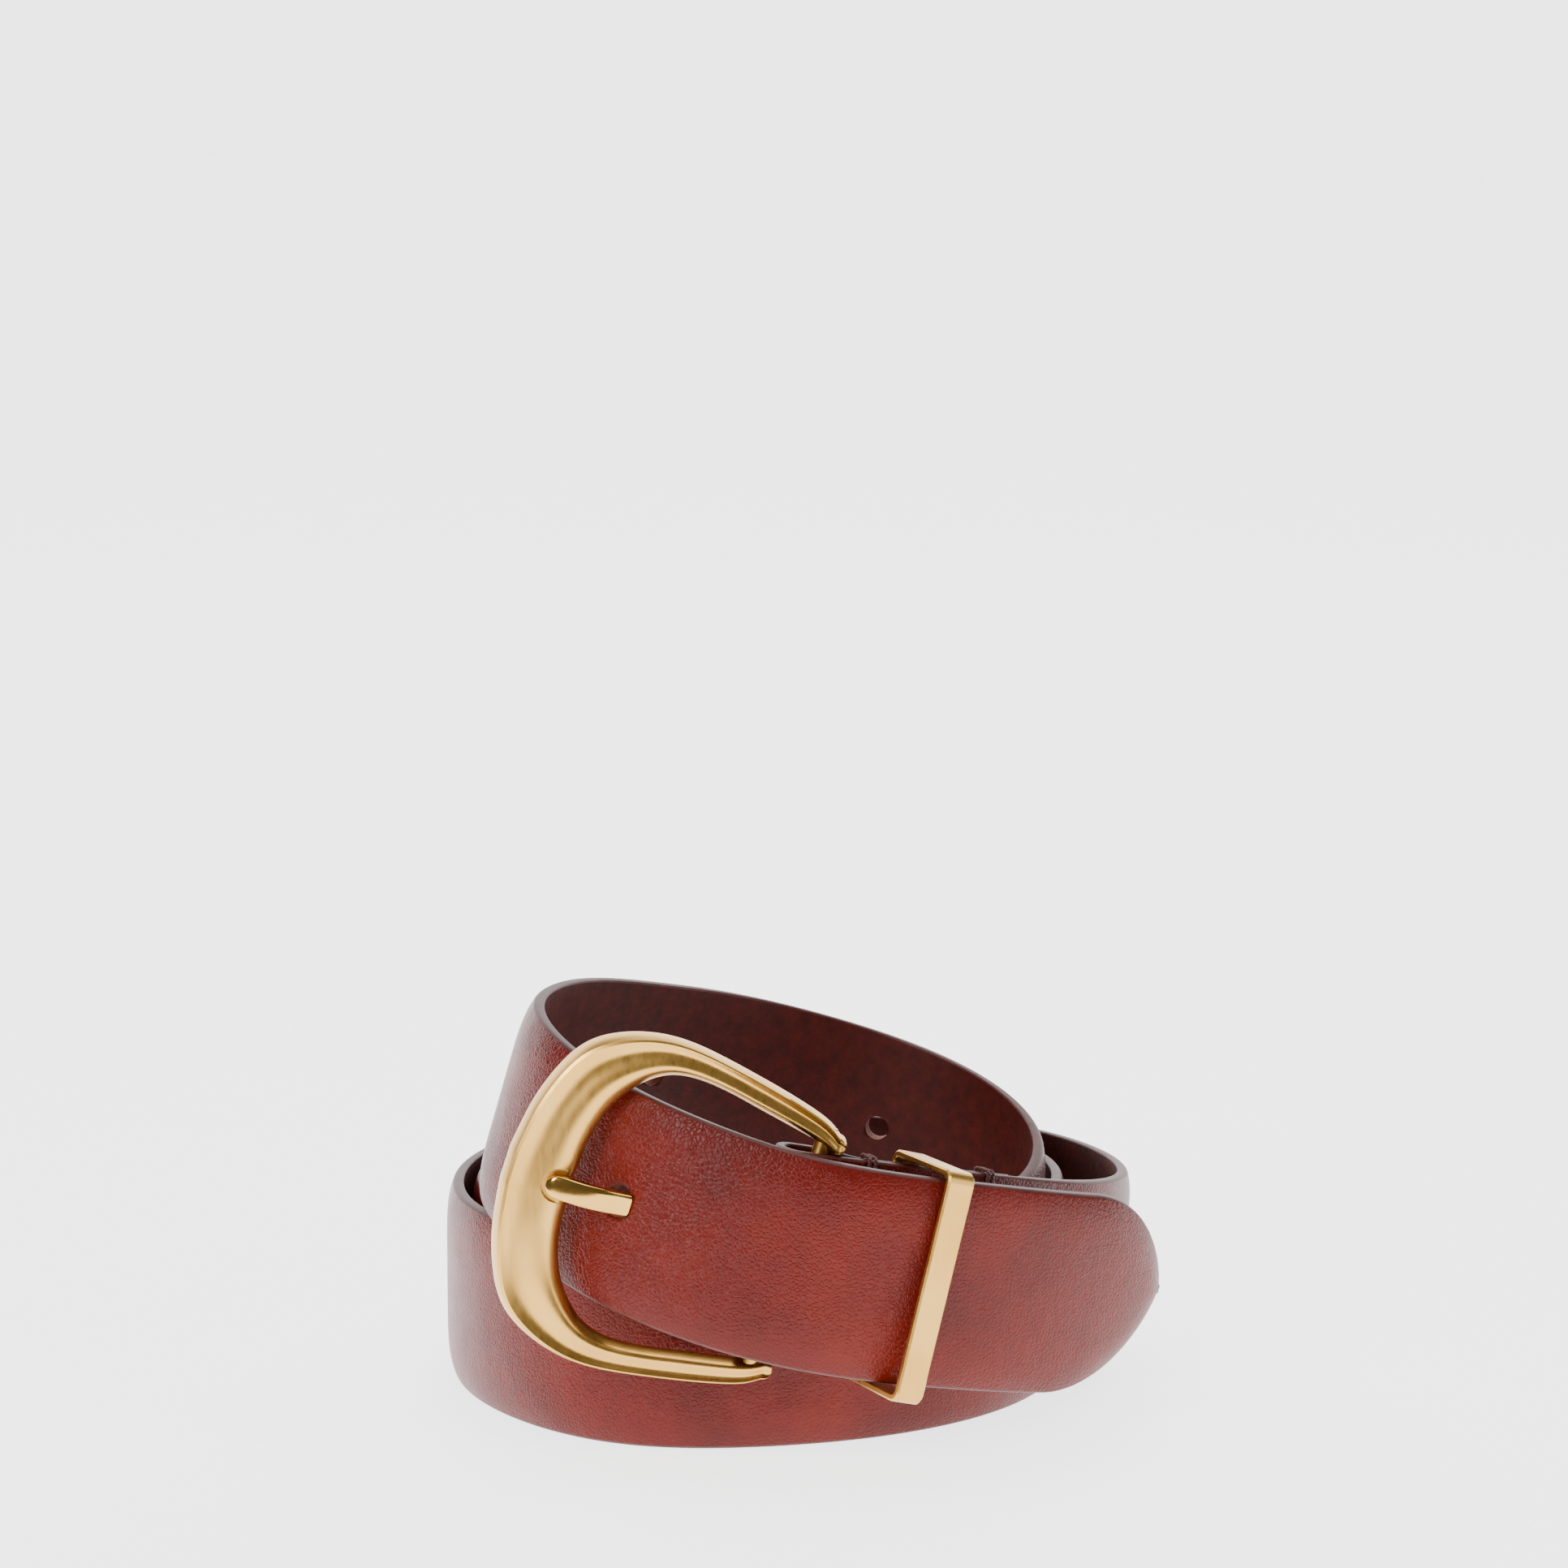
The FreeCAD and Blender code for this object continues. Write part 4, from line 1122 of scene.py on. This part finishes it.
# ---------------------------------------------------------------- keeper
@dataclass
class Keeper:
    """Flat metal band bent into a loop round the strap."""

    line: CoilLine
    angle: float = 1103.5
    width: float = 5.8
    wall: float = 1.3
    chamfer: float = 0.35
    room: float = 0.3
    corner: float = 2.3
    yaw: float = 12.0
    roll: float = 6.0
    play: float = 1.5

    def axes(self) -> tuple:
        """Origin and directions of the keeper: along, up and out."""
        place = self.line.places(self.angle)
        along, up, out = place.along[0], place.up[0], place.out[0]
        flat = unit(np.array([out[0], out[1], 0.0]))
        out = unit(out + (flat - out) * 0.8)
        a = math.radians(self.yaw)
        cos_yaw, sin_yaw = math.cos(a), math.sin(a)
        out = np.array([out[0] * cos_yaw - out[1] * sin_yaw, out[0] * sin_yaw + out[1] * cos_yaw, out[2]])
        b = math.radians(self.roll)
        up = unit(up - out * np.dot(up, out))
        along = np.cross(up, out)
        up = up * math.cos(b) + along * math.sin(b)
        return place.point[0], np.cross(up, out), up, out

    def limits(self) -> tuple:
        """Inside of the keeper, in its own axes, round the tip and the folded start of the strap.

        Returns:
            Lowest and highest places, each up and out.
        """
        origin, along, up, out = self.axes()
        tip = self.line.places(np.arange(self.angle - 12.0, self.angle + 12.0, 0.5))
        start = self.line.places(np.arange(8.0, 40.0, 0.5))
        edges = 0.5 * self.line.width
        held = [tip.at(y, n) for y in (-edges, edges) for n in (0.0, 2.0)]
        held += [tip.at(y, 3.5) for y in (-12.0, 0.0, 12.0)]
        held += [start.at(y, n) for y in (-edges, edges) for n in (-0.75, 2.0)]
        held += [start.at(y, n) for y in (-12.0, 0.0, 12.0) for n in (-0.75, 2.9)]
        points = np.concatenate(held) - origin
        points = points[np.abs(points @ along) < 0.5 * self.width + self.play]
        places = np.stack([points @ up, points @ out], -1)
        return places.min(0) - self.room, places.max(0) + self.room

    def build(self, low: tuple, high: tuple) -> bpy.types.Object:
        """Make the keeper.

        Args:
            low: Lowest place of its inside, up and out.
            high: Highest place of its inside, up and out.

        Returns:
            The keeper's object.
        """
        origin, along, up, out = self.axes()
        middle = 0.5 * (np.array(low) + np.array(high))
        half = 0.5 * (np.array(high) - np.array(low))
        w, c = 0.5 * self.width, self.chamfer

        def loop(grow: float, shift: float) -> np.ndarray:
            """Rounded rectangle, grown and moved along the strap."""
            r = max(0.6, self.corner - self.wall + grow)
            points = []
            for k, (su, sv) in enumerate(((1, 1), (-1, 1), (-1, -1), (1, -1))):
                cu, cv = su * (half[0] + grow - r), sv * (half[1] + grow - r)
                for a in np.linspace(0.0, 0.5 * math.pi, 13):
                    b = a + k * 0.5 * math.pi
                    points.append((cu + r * math.cos(b), cv + r * math.sin(b)))
            pts = np.array(points) + middle
            return origin + pts[:, :1] * up + pts[:, 1:] * out + along * shift

        rings = [loop(self.wall, -w + c), loop(self.wall, w - c), loop(self.wall - c, w), loop(0.6 * c, w),
                 loop(0.0, w - 0.6 * c), loop(0.0, -w + 0.6 * c), loop(0.6 * c, -w), loop(self.wall - c, -w)]
        rows = np.stack(rings, 1)
        obj = MeshMaker.tube("keeper_band", rows, np.zeros(8, int), closed=True)
        MeshMaker.crisp(obj, 25.0)
        return obj

    def dress(self, obj: bpy.types.Object) -> None:
        """Give the keeper its brushed plate."""
        MeshMaker.clothe(obj, PaleGold(name="gold_plate", brush=(1.0, 1.0, 0.06)).material())
        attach(obj, "keeper")
        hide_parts("keeper")


# ---------------------------------------------------------------- thread ties
@dataclass
class Ties:
    """Loops of twisted thread through both plies and round their edge."""

    line: CoilLine
    runs: tuple = (("front_tie", 11.5), ("rear_tie", 39.0))
    spacing: float = 1.15
    inset: float = 3.6
    thread: float = 0.42
    ply_gap: float = 0.15
    lining: float = 0.7
    edge: float = 2.0
    lay: float = 1.5

    def places(self) -> list:
        """Name, place along the strap and side of every loop."""
        found = []
        for name, run in self.runs:
            for k in range(2):
                place = self.line.places(self.line.angle_at(run + self.spacing * (k - 0.5)))
                found += [(name, place, side) for side in (1.0, -1.0)]
        return found

    def loop(self, name: str, place: Places, side: float) -> list:
        """One loop of two twisted strands.

        Args:
            name: Object name.
            place: Place along the strap.
            side: 1 at the upper edge, -1 at the lower.

        Returns:
            The two strands.
        """
        half = 0.5 * self.line.width
        top = self.edge + self.thread + 0.12
        low = 2.0 * self.lining - self.ply_gap - self.edge - self.thread - 0.15
        inner, outer, r = half - self.inset, half + self.thread + 0.1, 0.6
        path = []
        for k, (u, v) in enumerate(((outer - r, top - r), (inner + r, top - r), (inner + r, low + r),
                                    (outer - r, low + r))):
            for a in np.linspace(0.0, 0.5 * math.pi, 9):
                b = a + k * 0.5 * math.pi
                path.append((u + r * math.cos(b), v + r * math.sin(b)))
        path.append(path[0])
        path = np.array(path)
        run = np.concatenate([[0.0], np.cumsum(np.linalg.norm(np.diff(path, axis=0), axis=1))])
        count = 150
        s = np.linspace(0.0, run[-1], count, endpoint=False)
        uv = np.stack([np.interp(s, run, path[:, 0]), np.interp(s, run, path[:, 1])], -1)
        lead = unit(np.roll(uv, -1, 0) - np.roll(uv, 1, 0))
        turns = round(run[-1] / self.lay)
        up, out, along = place.up[0] * side, place.out[0], place.along[0]
        centre = place.point[0] + uv[:, :1] * up + uv[:, 1:] * out
        side_way = lead[:, 1:] * up - lead[:, :1] * out
        strands = []
        for strand in range(2):
            turn = 2.0 * math.pi * (turns * s / run[-1] + 0.5 * strand)
            swing = np.cos(turn)[:, None] * side_way + np.sin(turn)[:, None] * along
            middle = centre + 0.4 * self.thread * swing
            angle = np.linspace(0.0, 2.0 * math.pi, 10, endpoint=False)
            rows = (middle[:, None] + 0.58 * self.thread * (np.cos(angle)[None, :, None] * side_way[:, None]
                                                            + np.sin(angle)[None, :, None] * along))
            strands.append(MeshMaker.tube(name, rows, np.zeros(10, int), closed=True))
        return strands

    def build(self) -> None:
        """Make and dress every loop."""
        finish = WaxedThread().material()
        for number, (name, place, side) in enumerate(self.places()):
            for strand, obj in enumerate(self.loop("%s_%d" % (name, number), place, side)):
                obj.name = "%s_%d_%d" % (name, number, strand)
                obj.data.materials.append(finish)
                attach(obj, "strap")
                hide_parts(name)

    def holes(self) -> list:
        """Cutters for the stitch holes."""
        half = 0.5 * self.line.width - self.inset
        radius = self.thread + 0.12
        return [MeshMaker.pin("stitch", place.at(side * half, -3.0)[0], place.out[0], radius, 8.0, 16)
                for _, place, side in self.places()]


# ---------------------------------------------------------------- bar
def dress_bar() -> None:
    """Give the bar, which keeps its own shape, its finish."""
    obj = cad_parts["buckle_bar"]
    finish = PaleGold(name="gold_bar").material()
    if len(obj.material_slots) == 0:
        obj.data.materials.append(finish)
    for slot in obj.material_slots:
        slot.material = finish


def main() -> None:
    """Build the belt, piece by piece."""
    logging.basicConfig(level=logging.INFO, format="%(message)s")
    line = CoilLine()
    buckle = BucklePlace(line)
    Studio(line).build()
    strap = Strap(line, buckle)
    leather = strap.build()
    prong, ties, keeper, casting = Prong(buckle), Ties(line), Keeper(line), BuckleFrame(buckle)
    strap.dress(leather, [prong.blade("prong_room", 19.0, 0.3)] + ties.holes())
    log.info("strap: %d points", len(leather.data.vertices))
    for piece in (casting, prong):
        obj = piece.build()
        piece.dress(obj)
        log.info("%s: %d points", obj.name, len(obj.data.vertices))
    band = keeper.build(*keeper.limits())
    keeper.dress(band)
    log.info("%s: %d points", band.name, len(band.data.vertices))
    ties.build()
    dress_bar()


if __name__ == "__main__":
    main()
